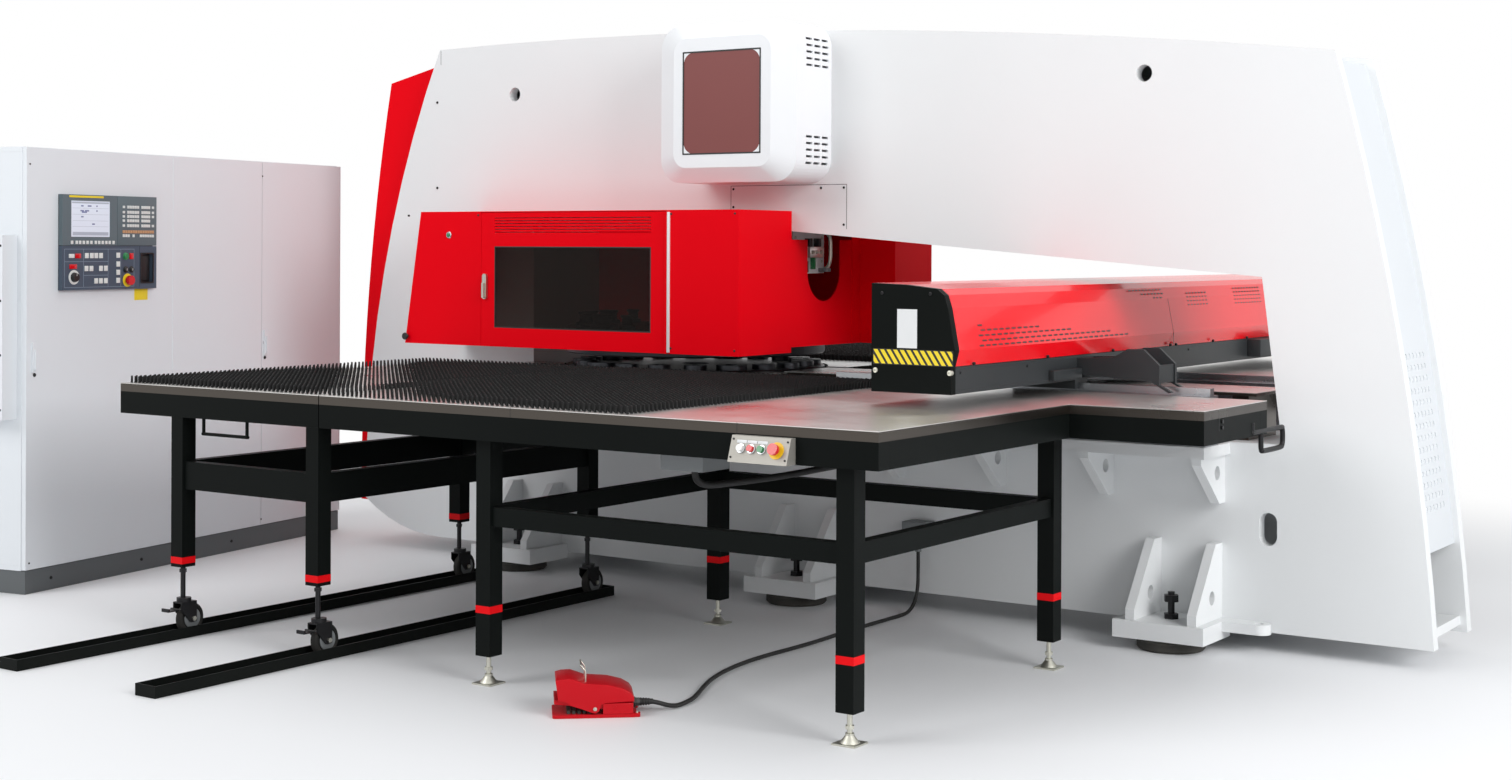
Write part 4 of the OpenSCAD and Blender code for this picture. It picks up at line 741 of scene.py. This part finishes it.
# %% Parts on the punching head
HEAD_SIDE = end_face(100)
bm = bmesh.new()
for box, high, soft, tint in [
        ((-40, 1366, 70, 1412), 34, 3, 0), ((-30, 1412, -8, 1446), 26, 2, 1),
        ((38, 1412, 60, 1446), 26, 2, 1), ((14, 1318, 22, 1366), 22, 1.5, 2),
        ((30, 1318, 36, 1366), 22, 1.5, 3), ((-70, 1305, -44, 1352), 30, 2, 1),
        ((76, 1306, 112, 1322), 40, 2, 4)]:
    tile(bm, HEAD_SIDE, box, SUNK, high, soft, tint)
for y in (-22, 8, 40):
    turned(bm, HEAD_SIDE, y, 1389, [(0, 30), (8, 30), (8, 40), (5, 42), (5, 47), (0, 47)], 5, 20)
screws(bm, HEAD_SIDE, [(-100, 1330), (-100, 1450), (100, 1350), (100, 1450)], 6, 5)
make_piece("head_valves", bm, "sheet_steel dark_plastic button_green label_white box_grey zinc_plate",
           "machine")


def tube(name, route, radius, finish_name):
    """A fixed pipe or hose of the machine, along a smooth route of drawing places."""
    piece = round_line(name, through([spot(*p) for p in route], 6), radius, 3, FINISHES[finish_name])
    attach(piece, "machine")
    print(name + ":", len(route), "places on its route")


tube("head_hose", [(106, 100, 1470), (128, 100, 1468), (142, 101, 1448), (144, 102, 1400), (143, 100, 1350),
                   (132, 98, 1326), (114, 94, 1316)], 0.008, "zinc_plate")

# %% [markdown]
# ## The crossbeam's cover
# The red cover hides the drive of the crossbeam. Its leaning face has four rows of cooling slots near its
# left end and small holes near the motors further on. One slot is a rounded dark inlay, painted shade where
# the opening would be, repeated along its row. The rows follow the photograph: the spacing is 44 mm along and
# 16 mm up.

# %% Cooling slots and holes of the cover
SLOPE_STRETCH = math.hypot(COVER_LEAN.x, COVER_LEAN.z) / COVER_LEAN.z


def slot_row(bm, z, first, last, pitch, half_w, half_h, soft):
    """A level row of dark inlays, painted shade in place of openings, on the leaning face. Returns how many
    there are.
    """
    up, count = (z - COVER_FOOT) * SLOPE_STRETCH, int((last - first) / pitch) + 1
    for y in (first + pitch * k for k in range(count)):
        tile(bm, COVER_SLOPE, (y - half_w, up - half_h, y + half_w, up + half_h), SUNK, 0.5, soft)
    return count


bm = bmesh.new()
slots = sum(slot_row(bm, z, first, last, 44, 15, 2.7, 0.45) for z, first, last in [
    (1157.5, -1206, -1206), (1141.4, -1190, -765), (1124.6, -1209, -543), (1107.8, -1190, -179),
    (1091.5, -1214, -30)])
holes = sum(slot_row(bm, top - 15.5 * row, first + step * row, last, 32, 8, 2.4, 0.4)
            for first, last, top, rows, step in [(26, 340, 1251, 3, 110), (577, 790, 1233, 4, 0),
                                                 (1090, 1380, 1245, 5, 0)] for row in range(rows))
print("cover slots:", slots, "and smaller holes:", holes)
# Painted shade: the black inlays stand in for the openings of the slots and holes.
make_piece("cover_slots", bm, "stripe_black", "crossbeam", smooth=0)

# %% Cover screws and the seam of the skirt
bm = bmesh.new()
screws(bm, COVER_SKIRT, [(y, 1035) for y in (-1269, -729, -188, 348, 404, 791, 1172, 1640)], 5.5, 0)
tile(bm, COVER_SKIRT, (375, 1031, 377, COVER_FOOT), SUNK, 0.4, tint=1)
tile(bm, COVER_SLOPE, (375, 0, 377, 136), SUNK, 0.4, tint=1)
make_piece("cover_screws", bm, "oxide_black stripe_black", "crossbeam")

# %% [markdown]
# ## The crossbeam's near end
# The end cap carries a bare white plate where a sign would be, a band of yellow and black stripes and two
# socket screws. The stripes are slanted plates: a shear in the matrix leans each bar, its top and bottom
# stay level with the band, and two cutting planes trim the row at the band's ends.

# %% Stripes, bare plate and screws of the end cap
BAR_COUNT, BAND, BAND_RIM = 12, (1256, 1030, 1554, 1081), 2.5
BAR_PITCH = (BAND[2] - BAND[0]) / BAR_COUNT
BAR_HALF, BAR_SLANT = 0.3, -1.25
left, bottom, right, top = grown(BAND, -BAND_RIM)
bm = bmesh.new()
tile(bm, BEAM_END, BAND, SUNK, 0.4)
bars = bmesh.new()
for k in range(-1, BAR_COUNT + 2):
    tile(bars, Matrix(), (BAND[0] + BAR_PITCH * (k - BAR_HALF), bottom, BAND[0] + BAR_PITCH * (k + BAR_HALF),
                          top), 0, 0.7, slant=BAR_PITCH * BAR_SLANT)
for end, outward in ((left, -1), (right, 1)):
    bmesh.ops.bisect_plane(bars, geom=bars.verts[:] + bars.edges[:] + bars.faces[:], plane_co=(end, 0, 0),
                           plane_no=(outward, 0, 0), clear_outer=True)
    bmesh.ops.holes_fill(bars, edges=[e for e in bars.edges if e.is_boundary], sides=4)
add_part(bm, bars, 1, BEAM_END)
tile(bm, BEAM_END, (1347, 1085, 1421, 1211), SUNK, 0.6, tint=2)
screws(bm, BEAM_END, [(1266, 1010), (1542, 1010)], 9, 3)
screws(bm, BEAM_END, [(1290, 1262), (1470, 1262)], 6, 4)
make_piece("beam_end_stripes", bm, "stripe_black stripe_yellow label_white zinc_plate oxide_black",
           "crossbeam")
print("stripe pitch", round(BAR_PITCH, 1), "mm")

# %% [markdown]
# ## The control panel
# The real panel is made of four units side by side: a screen unit, a key unit, a lower operator panel and a
# storage bay. Each is a plate of its own here, raised from a tray, so the joints between them are real.
# Keys are rows of small rounded caps, placed from the photograph. The screen's own marks are plain lines.

# %% Panel units
PANEL = face_frame(spot(*CABINET_CORNER, 1219) + CABINET_ALONG * 0.175, CABINET_ALONG, UP)
TRAY, PLATE_TOP, LINE_HALF = 3, 24, 0.9
finish("panel_blue", (66, 80, 96), 0.5, 0.06, peel=0.00006, peel_scale=500.0, cloud=0.05)
finish("panel_line", (132, 150, 166), 0.5, 0.05, dust=0.03)
PANEL_FINISHES = ("panel_slate panel_blue panel_line key_white key_tan button_red button_green dark_plastic "
                  "stripe_yellow")
SLATE, BLUE, LINE, WHITE_KEY, TAN_KEY, RED_KEY, GREEN_KEY, BLACK_KEY, YELLOW_TAG = range(9)
bm = bmesh.new()
tile(bm, PANEL, (1, 1, 561, 393), 0.3, TRAY, 0, BLACK_KEY)
framed(bm, PANEL, (0, 184, 319, 394), (50, 220, 276, 369), TRAY, PLATE_TOP, tint=SLATE)
tile(bm, PANEL, (321, 184, 562, 394), TRAY, PLATE_TOP, 1.2, SLATE)
framed(bm, PANEL, (0, 0, 455, 182), (370, 25, 394, 49), TRAY, PLATE_TOP, tint=BLUE)
framed(bm, PANEL, (457, 0, 562, 182), (465, 26, 540, 150), TRAY, PLATE_TOP, tint=BLUE)
framed(bm, PANEL, (461, 22, 544, 154), (467, 28, 538, 148), PLATE_TOP, 26, 5, BLACK_KEY)
tile(bm, PANEL, (472, 34, 533, 142), 2.8, 12, 3, BLACK_KEY)
tile(bm, PANEL, (38, 382, 237, 390), 23.8, 24.8, 0.4, YELLOW_TAG)
tile(bm, PANEL, (451, -50, 534, -2), 0.3, 1.0, 0.3, YELLOW_TAG)
for u in (12, 121, 265, 341, 422):
    tile(bm, PANEL, (u - LINE_HALF, 11, u + LINE_HALF, 169), 23.8, 24.3, 0, LINE)
for v, low_u, high_u in [(169, 12, 422), (117, 12, 265), (60, 121, 265), (11, 12, 422)]:
    tile(bm, PANEL, (low_u, v - LINE_HALF, high_u, v + LINE_HALF), 23.8, 24.3, 0, LINE)
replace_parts(make_piece("panel_units", bm, PANEL_FINISHES, "cabinet_door_1"), "control_panel")

# %% Keys, lamps and knob
KEY_ROWS, SIDE_COLUMNS = (348, 326, 308, 290, 269), (357, 537)
KEY_COLUMNS = (384, 399, 414, 429, 444, 471, 485, 499, 513)
KEY_FOOT, KEY_TOP, SMALL_KNOB_V = 23.5, 27, 82.5
KEY_GROUPS = [
    ([(u, v) for u in KEY_COLUMNS for v in KEY_ROWS], 12, 12.5, WHITE_KEY),
    ([(u, v) for u in SIDE_COLUMNS for v in KEY_ROWS if (u, v) != (537, 290)], 13, 10.5, WHITE_KEY),
    ([(357 + 15 * k, 243) for k in range(13)], 12, 13, TAN_KEY),
    ([(357 + 15 * k, 226) for k in range(13) if k not in (3, 5, 6)], 12, 12, WHITE_KEY),
    ([(u, 197) for u in (53, 80, 99, 120, 142, 164, 190, 210, 231, 252, 272, 295)], 13, 14, WHITE_KEY),
    ([(138, 142), (167, 142), (193, 142), (221, 142), (136, 88.5), (165, 88.5), (221, 88.5), (250, 88.5),
      (193, 36.5), (221, 36.5), (250, 36.5), (324, 143), (324, 106), (324, 71), (324, 37)],
     21, 22, WHITE_KEY),
    ([(51, 141)], 30, 17, WHITE_KEY), ([(88, 141)], 32, 20, RED_KEY), ([(60, 97)], 42, 19, RED_KEY),
    ([(405, 139)], 24, 26, RED_KEY)]
bm = bmesh.new()
for places, width, height, tint in KEY_GROUPS:
    for u, v in places:
        tile(bm, PANEL, (u - width / 2, v - height / 2, u + width / 2, v + height / 2), KEY_FOOT, KEY_TOP,
             1.0, tint)
turned(bm, PANEL, 370, 139, [(0, 23), (16, 23), (16, 26), (13, 27), (13, 31), (11, 33), (0, 33)], GREEN_KEY)
for u in (370, 405):
    turned(bm, PANEL, u, SMALL_KNOB_V, [(0, 23), (14, 23), (14, 26), (11, 27), (11, 31), (9, 33), (0, 33)],
           BLACK_KEY)
    tile(bm, PANEL, (u - 1.5, 78, u + 1.5, 87), 32.8, 33.4, 0.2, WHITE_KEY)
turned(bm, PANEL, 65.5, 53, [(20, 23.5), (30, 23.5), (30, 25.5), (20, 25.5), (20, 23.5)], WHITE_KEY, 40)
turned(bm, PANEL, 65.5, 53, [(0, 23.5), (18.5, 23.5), (18.5, 36), (16, 41), (0, 41)], BLACK_KEY)
tile(bm, PANEL, (64.5, 58, 66.5, 70), 40.8, 41.6, 0.2, WHITE_KEY)
turned(bm, PANEL, 382, 37, [(12.5, 23.5), (28.4, 23.5), (28.4, 25), (12.5, 25), (12.5, 23.5)], YELLOW_TAG, 40)
make_piece("panel_keys", bm, PANEL_FINISHES, "cabinet_door_1")
print("panel keys:", sum(len(group[0]) for group in KEY_GROUPS))

# %% Marks on the screen
SCREEN = 21.9
finish("ink_blue", (120, 130, 170), 0.3, 0.03, dust=0.0)
finish("ink_grey", (176, 186, 200), 0.3, 0.03, dust=0.0)
bm = bmesh.new()
tile(bm, PANEL, (56, 358, 270, 364), SCREEN, 22.15, 0, 1)
for v in (338, 312, 286, 262):
    tile(bm, PANEL, (60, v, 268, v + 1.2), SCREEN, 22.15, 0, 1)
for u, v, w in [(108, 345, 14), (146, 345, 22), (104, 325, 20), (130, 325, 24), (112, 319, 30),
                (108, 300, 14), (196, 345, 8), (196, 325, 8), (172, 270, 16)]:
    tile(bm, PANEL, (u, v, u + w, v + 6), SCREEN, 22.2)
tile(bm, PANEL, (60, 226, 268, 240), SCREEN, 22.15, 0, 1)
make_piece("screen_marks", bm, "ink_blue ink_grey", "cabinet_door_1", smooth=0)

# %% [markdown]
# ## Cabinet fittings
# The cabinet is plain sheet work. What gives it scale are its quarter-turn locks, the screws in its plinth,
# the screws round the cooler's lid and the cooler's pressed louvres. A louvre is a low bar with strongly
# rounded edges over a dark strip, painted shade where the slit is.

# %% Locks, plinth screws and cooler louvres
CABINET_SIDE = face_frame(spot(*CABINET_CORNER, 0) - CABINET_ALONG * 0.080, CABINET_OUT, UP)
PLINTH_FRONT = face_frame(spot(*CABINET_CORNER, 0) - CABINET_OUT * 0.004, CABINET_ALONG, UP)
LOCK = [(0, 0.3), (13, 0.3), (13, 2), (9, 3.5), (9, 5), (0, 5)]
LOUVRE_COUNT, LOUVRE_LOW, LOUVRE_PITCH = 11, 755, 14
for number, y, corners in [(1, 47, [(20, 1730), (22, 124)]), (2, 1510, [(1489, 1730), (1488, 124)])]:
    bm = bmesh.new()
    turned(bm, CABINET_FRONT, y, 950, LOCK, 0, 28)
    tile(bm, CABINET_FRONT, (y - 1.2, 944, y + 1.2, 956), 4.8, 5.3, 0, 1)
    turned(bm, CABINET_FRONT, y, 880, [(r * 0.6, h) for r, h in LOCK], 1, 20)
    screws(bm, CABINET_FRONT, corners, 4, 1)
    make_piece("lock_%d" % number, bm, "chrome_bright dark_plastic", "cabinet_door_%d" % number)
bm = bmesh.new()
screws(bm, PLINTH_FRONT, [(147, 48), (682, 48), (1280, 48), (1890, 48)], 7, 0)
screws(bm, CABINET_SIDE, [(x, z) for x in (-56, -530) for z in (1401, 1181, 964, 745)], 5, 0)
for z in range(LOUVRE_LOW, LOUVRE_LOW + LOUVRE_PITCH * LOUVRE_COUNT, LOUVRE_PITCH):
    # Painted shade: a dark strip under each louvre stands for its slit.
    tile(bm, CABINET_SIDE, (-520, z - 5, -118, z - 1), SUNK, 0.4, 0, 1)
    tile(bm, CABINET_SIDE, (-524, z - 2, -114, z + 5), SUNK, 4, 2.2, 2)
make_piece("cabinet_fittings", bm, "oxide_black dark_plastic powder_white", "machine")

# %% [markdown]
# ## Table trim
# Each leg has a red band near its foot, wrapped round the square tube: a frame seen from above, raised by
# the band's height. Sheet joints, the bolted joint of the ledge and the guard loop at its end follow.

# %% Red bands on the legs
LEG_HALF, BAND_GAP, BAND_WALL, BAND_HEIGHT = 30, 0.02, 0.5, 24


def leg_bands(name, places, z, body):
    bm = bmesh.new()
    leg = (-LEG_HALF, -LEG_HALF, LEG_HALF, LEG_HALF)
    for x, y in places:
        level = face_frame(spot(x, y, 0), RIGHT, INTO)
        framed(bm, level, grown(leg, BAND_WALL), grown(leg, BAND_GAP), z, z + BAND_HEIGHT)
    make_piece(name, bm, "band_red", body, smooth=0)


leg_bands("fixed_leg_bands", [(x, y) for x in (290, 1655) for y in (-2183, -909)], 230, "machine")
leg_bands("far_leg_bands", [(x, y) for x in (-1100, 1655) for y in (2183, 909)], 230, "machine")

# %% Table joints, bolts and guard loop
LEDGE_END, LOOP_X = end_face(2250), 2246
bm = bmesh.new()
for x in (437, 1308):
    tile(bm, TABLE_EDGE, (x - 0.9, 869, x + 0.9, 900.2), SUNK, 0.3, 0, 1)
tile(bm, LEDGE_END, (-910.5, 829, -907.5, 869), SUNK, 0.4, 0, 1)
for z in (838, 858):
    turned(bm, LEDGE_END, -886, z, [(0, -0.5), (7, -0.5), (7, 4.5), (0, 4.5)], 0, 6)
make_piece("table_joints", bm, "oxide_black stripe_black", "machine")
tube("ledge_loop", [(LOOP_X, y, z) for y, z in [
    (-608, 833), (-608, 812), (-603, 803), (-590, 800), (-345, 800), (-322, 796), (-315, 780), (-315, 752),
    (-322, 738), (-345, 732), (-500, 732), (-518, 738), (-523, 752), (-523, 792)]], 0.009, "oxide_black")

# %% Conduit under the table
tube("box_conduit", [(1020, -2062, 735), (1020, -2062, 712), (1024, -2050, 690), (1032, -2010, 676),
                     (1040, -1900, 672), (1044, -1600, 668), (1040, -1200, 672), (1020, -800, 668),
                     (1000, -560, 660), (990, -400, 652), (988, -300, 650), (988, -234, 650)], 0.011,
     "cord_rubber")

# %% [markdown]
# ## Casters
# A wheel is a cast hub with a rubber tyre. The hub's cap rides on the wheel, and the axle nuts stay on the
# fork. A six-step lathe makes a nut.

# %% Hub caps and axle nuts
AXLE_Z, HUB_OUT, NUT_OUT = 60.3, 16, 23
HUB = [(0, -0.5), (36, -0.5), (34, 1.2), (28, 0.6), (16, 0.6), (14, 2), (0, 2)]
nut_bm = bmesh.new()
for number, (x, y) in enumerate([(x, y) for y in (-2195, -742) for x in (-1140, -448)], 1):
    bm = bmesh.new()
    for side in (-1, 1):
        turned(bm, aimed(spot(x + side * HUB_OUT, y, AXLE_Z), RIGHT * side), 0, 0, HUB, 0, 36)
        turned(nut_bm, aimed(spot(x + side * NUT_OUT, y, AXLE_Z), RIGHT * side), 0, 0,
               [(0, -0.5), (9, -0.5), (9, 6), (0, 6)], 0, 6)
    make_piece("wheel_hub_%d" % number, bm, "box_grey", "caster_wheel_%d" % number)
make_piece("axle_nuts", nut_bm, "zinc_plate", "roll_table")
leg_bands("roll_leg_bands", [(x, y) for x in (-1145, -453) for y in (-2221, -768)], 262, "roll_table")

# %% [markdown]
# ## Button box
# Chrome bezels surround the three buttons, and the mushroom button stands on a yellow ring. Each is a
# closed profile on the lathe.

# %% Bezels on the button box
BUTTONS_X, MUSHROOM_X, TAG_HALF = (1347, 1383, 1419), 1470, 17
BEZEL = [(10.6, -0.5), (14.5, -0.5), (14.5, 2.5), (12.6, 4), (10.6, 4), (10.6, -0.5)]
bm = bmesh.new()
for x in BUTTONS_X:
    turned(bm, BUTTON_FACE, x, 0, BEZEL)
turned(bm, BUTTON_FACE, MUSHROOM_X, 0, [(10, -0.5), (25, -0.5), (25, 1), (10, 1), (10, -0.5)], 1, 40)
for x in BUTTONS_X:
    tile(bm, BUTTON_FACE, (x - TAG_HALF, 16, x + TAG_HALF, 25), SUNK, 0.4, 0.1, 2)
screws(bm, BUTTON_FACE, [(1316, 27), (1316, -27), (1504, 27), (1504, -27)], 3, 3)
make_piece("button_bezels", bm, "chrome_bright ring_yellow label_white oxide_black", "machine")

# %% [markdown]
# ## The foot switch
# The switch is a red casting: a flat base, a low box at the back and a hood that shields the treadle like
# the toe of a clog. The hood's side view is drawn once and pulled across its width. Its long edges are
# rounded, the faces towards the foot are opened, and solidify then gives the skin a wall.

# %% Hood, back box and base of the foot switch
PEDAL_TURN = math.radians(41)
PEDAL_ALONG = Vector((math.cos(PEDAL_TURN), math.sin(PEDAL_TURN), 0))
PEDAL_ACROSS = Vector((-math.sin(PEDAL_TURN), math.cos(PEDAL_TURN), 0))
PEDAL = face_frame(spot(820, -2300, 0), PEDAL_ALONG, PEDAL_ACROSS)
HOOD_SIDE = [(-118, 112), (-100, 117), (-72, 118), (-46, 109), (-30, 103), (0, 101), (40, 98), (84, 87),
             (108, 73), (117, 60), (117, 46), (30, 44), (18, 40), (12, 20), (0, 14), (-14, 18), (-40, 28),
             (-72, 38), (-86, 48), (-110, 54)]
HOOD_OPEN = range(11, 20)
BOX_SIDE, BOX_OPEN = [(24, 10.5), (24, 43), (115, 43), (115, 10.5)], (0, 3)


def shell(bm, outline, half, open_sides, soft, wall):
    """A side view pulled across the switch, with some of its faces left open, rounded and given a wall."""
    part = bmesh.new()
    side = part.faces.new([part.verts.new((x, -half, z)) for x, z in outline])
    shifted(part, bmesh.ops.extrude_face_region(part, geom=[side])["geom"], (0, 2 * half, 0))
    bmesh.ops.recalc_face_normals(part, faces=part.faces)
    spans = [(outline[k], outline[(k + 1) % len(outline)]) for k in open_sides]
    middles = [Vector(((a[0] + b[0]) / 2, 0, (a[1] + b[1]) / 2)) for a, b in spans]
    opened = [f for f in part.faces if any((f.calc_center_median() - m).length < 0.01 for m in middles)]
    bmesh.ops.delete(part, geom=opened, context="FACES_ONLY")
    rims = [e for e in part.edges if len(e.link_faces) == 2
            and abs(e.verts[0].co.y - e.verts[1].co.y) < 0.01 and abs(abs(e.verts[0].co.y) - half) < 0.01]
    rounded(part, rims, soft, 4)
    bmesh.ops.solidify(part, geom=part.faces[:], thickness=wall)
    bmesh.ops.recalc_face_normals(part, faces=part.faces)
    add_part(bm, part, 0, PEDAL)


bm = bmesh.new()
shell(bm, HOOD_SIDE, 75, HOOD_OPEN, 9, 5)
shell(bm, BOX_SIDE, 72, BOX_OPEN, 4, 4)
tile(bm, PEDAL, (-127, -74, 126, 74), 0, 10, 10, slab=True)
for y in (-60, 60):
    tile(bm, PEDAL, (112, y - 13, 136, y + 13), 0.2, 12, 9, slab=True)
    screws(bm, PEDAL @ Matrix.Translation((126, y, 12)), [(0, 0)], 5, 1)
    screws(bm, aimed(PEDAL @ Vector((0, y * 1.25, 27)), PEDAL_ACROSS * y), [(0, 0)], 6, 1)
turned(bm, aimed(PEDAL @ Vector((116, 0, 30)), PEDAL_ALONG), 0, 0,
       [(0, 0), (16, 0), (16, 8), (13, 10), (13, 20), (11, 23), (0, 23)], 2, 6)
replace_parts(make_piece("switch_hood", bm, "cast_red zinc_plate dark_plastic", "machine"),
            "pedal_base")

# %% [markdown]
# The cord leaves the switch through a ribbed rubber sleeve that tapers onto it, which keeps it from kinking.
# A wire bail stands on the hood, bent forward at its top, so that a toe can lift the switch. Rubber ribs
# under the treadle close the gap above the base.

# %% Strain relief, bail and rubber ribs
SLEEVE = [(7.1, 0), (12, 0), (12, 5), (10.2, 6), (10.2, 8), (11.6, 9), (11.6, 13), (9.8, 14), (9.8, 16),
          (11, 17), (11, 21), (9.2, 22), (9.2, 24), (10.2, 25), (10.2, 29), (8.6, 30), (8.2, 40), (7.1, 40),
          (7.1, 0)]
HALF_BAIL = [(-28, -40, 98), (-28, -40, 128), (-30, -40, 136), (-40, -39, 149), (-42, -35, 152)]
RIB_COUNT, FIRST_RIB, RIB_PITCH = 5, -84, 16
bm = bmesh.new()
turned(bm, aimed(PEDAL @ Vector((138, 0, 30)), PEDAL_ALONG), 0, 0, SLEEVE, 0, 28)
make_piece("cord_sleeve", bm, "cord_rubber", "machine", smooth=40)
bail = [PEDAL @ Vector(p) for p in HALF_BAIL + [(x, -y, z) for x, y, z in reversed(HALF_BAIL)]]
tube("switch_bail", [(p - PUNCH_POINT) * 1000 for p in bail], 0.0027, "zinc_plate")
bm = bmesh.new()
for x in range(FIRST_RIB, FIRST_RIB + RIB_PITCH * RIB_COUNT, RIB_PITCH):
    tile(bm, PEDAL, (x, -58, x + 10, 58), 9.5, 18.5, 3, slab=True)
make_piece("switch_ribs", bm, "tyre_rubber", "machine")

# %% [markdown]
# ## Fittings on the crossbeam
# A dark cable duct runs along the lower beam in three lengths, because the bracket's plates stand between
# them, and a motor box sits at its far end behind the frame. Each is screwed to the beam's face.

# %% Cable ducts and motor box of the crossbeam
BEAM_FACE = end_face(1542)
bm = bmesh.new()
for start, end in ((-690, -464), (-444, -323), (-303, -97)):
    tile(bm, BEAM_FACE, (start, 948, end, 984), -0.2, 22, 2)
tile(bm, BEAM_FACE, (1217, 952, 1530, 1026), -0.2, 60, 4)
screws(bm, BEAM_FACE, [(-1330 + 475 * k, 1008) for k in range(5)], 5, 1)
make_piece("beam_fittings", bm, "beam_paint oxide_black", "crossbeam")

# %% [markdown]
# ## Studio
# The floor is a pale sheet that runs into a white background. Far from the machine its own coordinates turn
# it white for the camera, so that no horizon shows, while it keeps the shadows near the machine. Lamps are
# large and soft: one from the front left, one overhead and the strongest from the right, each as bright as
# it can be before the pale paint turns plain white.

# %% Floor, background and lamps
FLOOR_RGB, FLOOR_SIZE, FLOOR_Z, FADE_FROM, FADE_TO = (238, 239, 241), 60.0, -0.0005, 3.4, 5.6
WORLD_COLOUR, WORLD_LEVEL, WHITE = (0.97, 0.985, 1.0, 1), 0.5, (1, 1, 1, 1)


def white_ray(tree):
    """1 for the rays that should see the white background: camera, mirror and glass rays."""
    path = tree.nodes.new("ShaderNodeLightPath").outputs
    seen = math_node(tree, "MAXIMUM", path["Is Camera Ray"], path["Is Glossy Ray"])
    return math_node(tree, "MAXIMUM", seen, path["Is Transmission Ray"])


def over_white(tree, shader, white_kind, share, output):
    """Sends a shader to the output, mixed by a share with plain white."""
    white = tree.nodes.new(white_kind)
    white.inputs["Color"].default_value = WHITE
    white.inputs["Strength"].default_value = 1.0
    blend = tree.nodes.new("ShaderNodeMixShader")
    for socket, value in zip(blend.inputs, (share, shader.outputs[0], white.outputs[0])):
        tree.links.new(value, socket)
    tree.links.new(blend.outputs[0], tree.nodes[output].inputs["Surface"])


bm = bmesh.new()
bmesh.ops.create_grid(bm, x_segments=2, y_segments=2, size=FLOOR_SIZE,
                      matrix=Matrix.Translation((0, 0, FLOOR_Z)))
floor_mesh = bpy.data.meshes.new("studio_floor")
bm.to_mesh(floor_mesh)
bm.free()
add_object("studio_floor", floor_mesh)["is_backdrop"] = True

floor_material = bpy.data.materials.new("studio_floor")
floor_material.use_nodes = True
tree = floor_material.node_tree
floor_shader = tree.nodes["Principled BSDF"]
floor_shader.inputs["Base Color"].default_value = linear(*FLOOR_RGB)
floor_shader.inputs["Roughness"].default_value = 0.55
reach = tree.nodes.new("ShaderNodeVectorMath")
reach.operation = "LENGTH"
feed(tree, reach.inputs[0], place_on(tree))
fade = tree.nodes.new("ShaderNodeMapRange")
fade.interpolation_type = "SMOOTHSTEP"
for title, value in (("From Min", FADE_FROM), ("From Max", FADE_TO), ("Value", reach.outputs["Value"])):
    feed(tree, fade.inputs[title], value)
share = math_node(tree, "MULTIPLY", fade.outputs["Result"], white_ray(tree))
over_white(tree, floor_shader, "ShaderNodeEmission", share, "Material Output")
floor_mesh.materials.append(floor_material)

world = bpy.data.worlds.new("studio")
bpy.context.scene.world = world
world.use_nodes = True
tree = world.node_tree
light_level = tree.nodes["Background"]
light_level.inputs["Color"].default_value = WORLD_COLOUR
light_level.inputs["Strength"].default_value = WORLD_LEVEL
over_white(tree, light_level, "ShaderNodeBackground", white_ray(tree), "World Output")


def lamp(name, place, size, watts, target=(0, 0, 1.0)):
    """A square soft lamp that looks at a target."""
    data = bpy.data.lights.new(name, "AREA")
    data.size, data.energy = size, watts
    light = add_object(name, data)
    light.location = place
    light.rotation_euler = (Vector(target) - Vector(place)).to_track_quat("-Z", "Y").to_euler()
    print(name, watts, "W")


lamp("key_lamp", (-4.0, -9.5, 7.0), 6.0, 455)
lamp("top_lamp", (0.0, 0.5, 8.5), 8.0, 190)
lamp("side_lamp", (10.2, -3.4, 5.0), 5.0, 640)
bpy.context.scene.view_settings.view_transform = "Standard"

# %% Sizes
low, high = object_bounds()
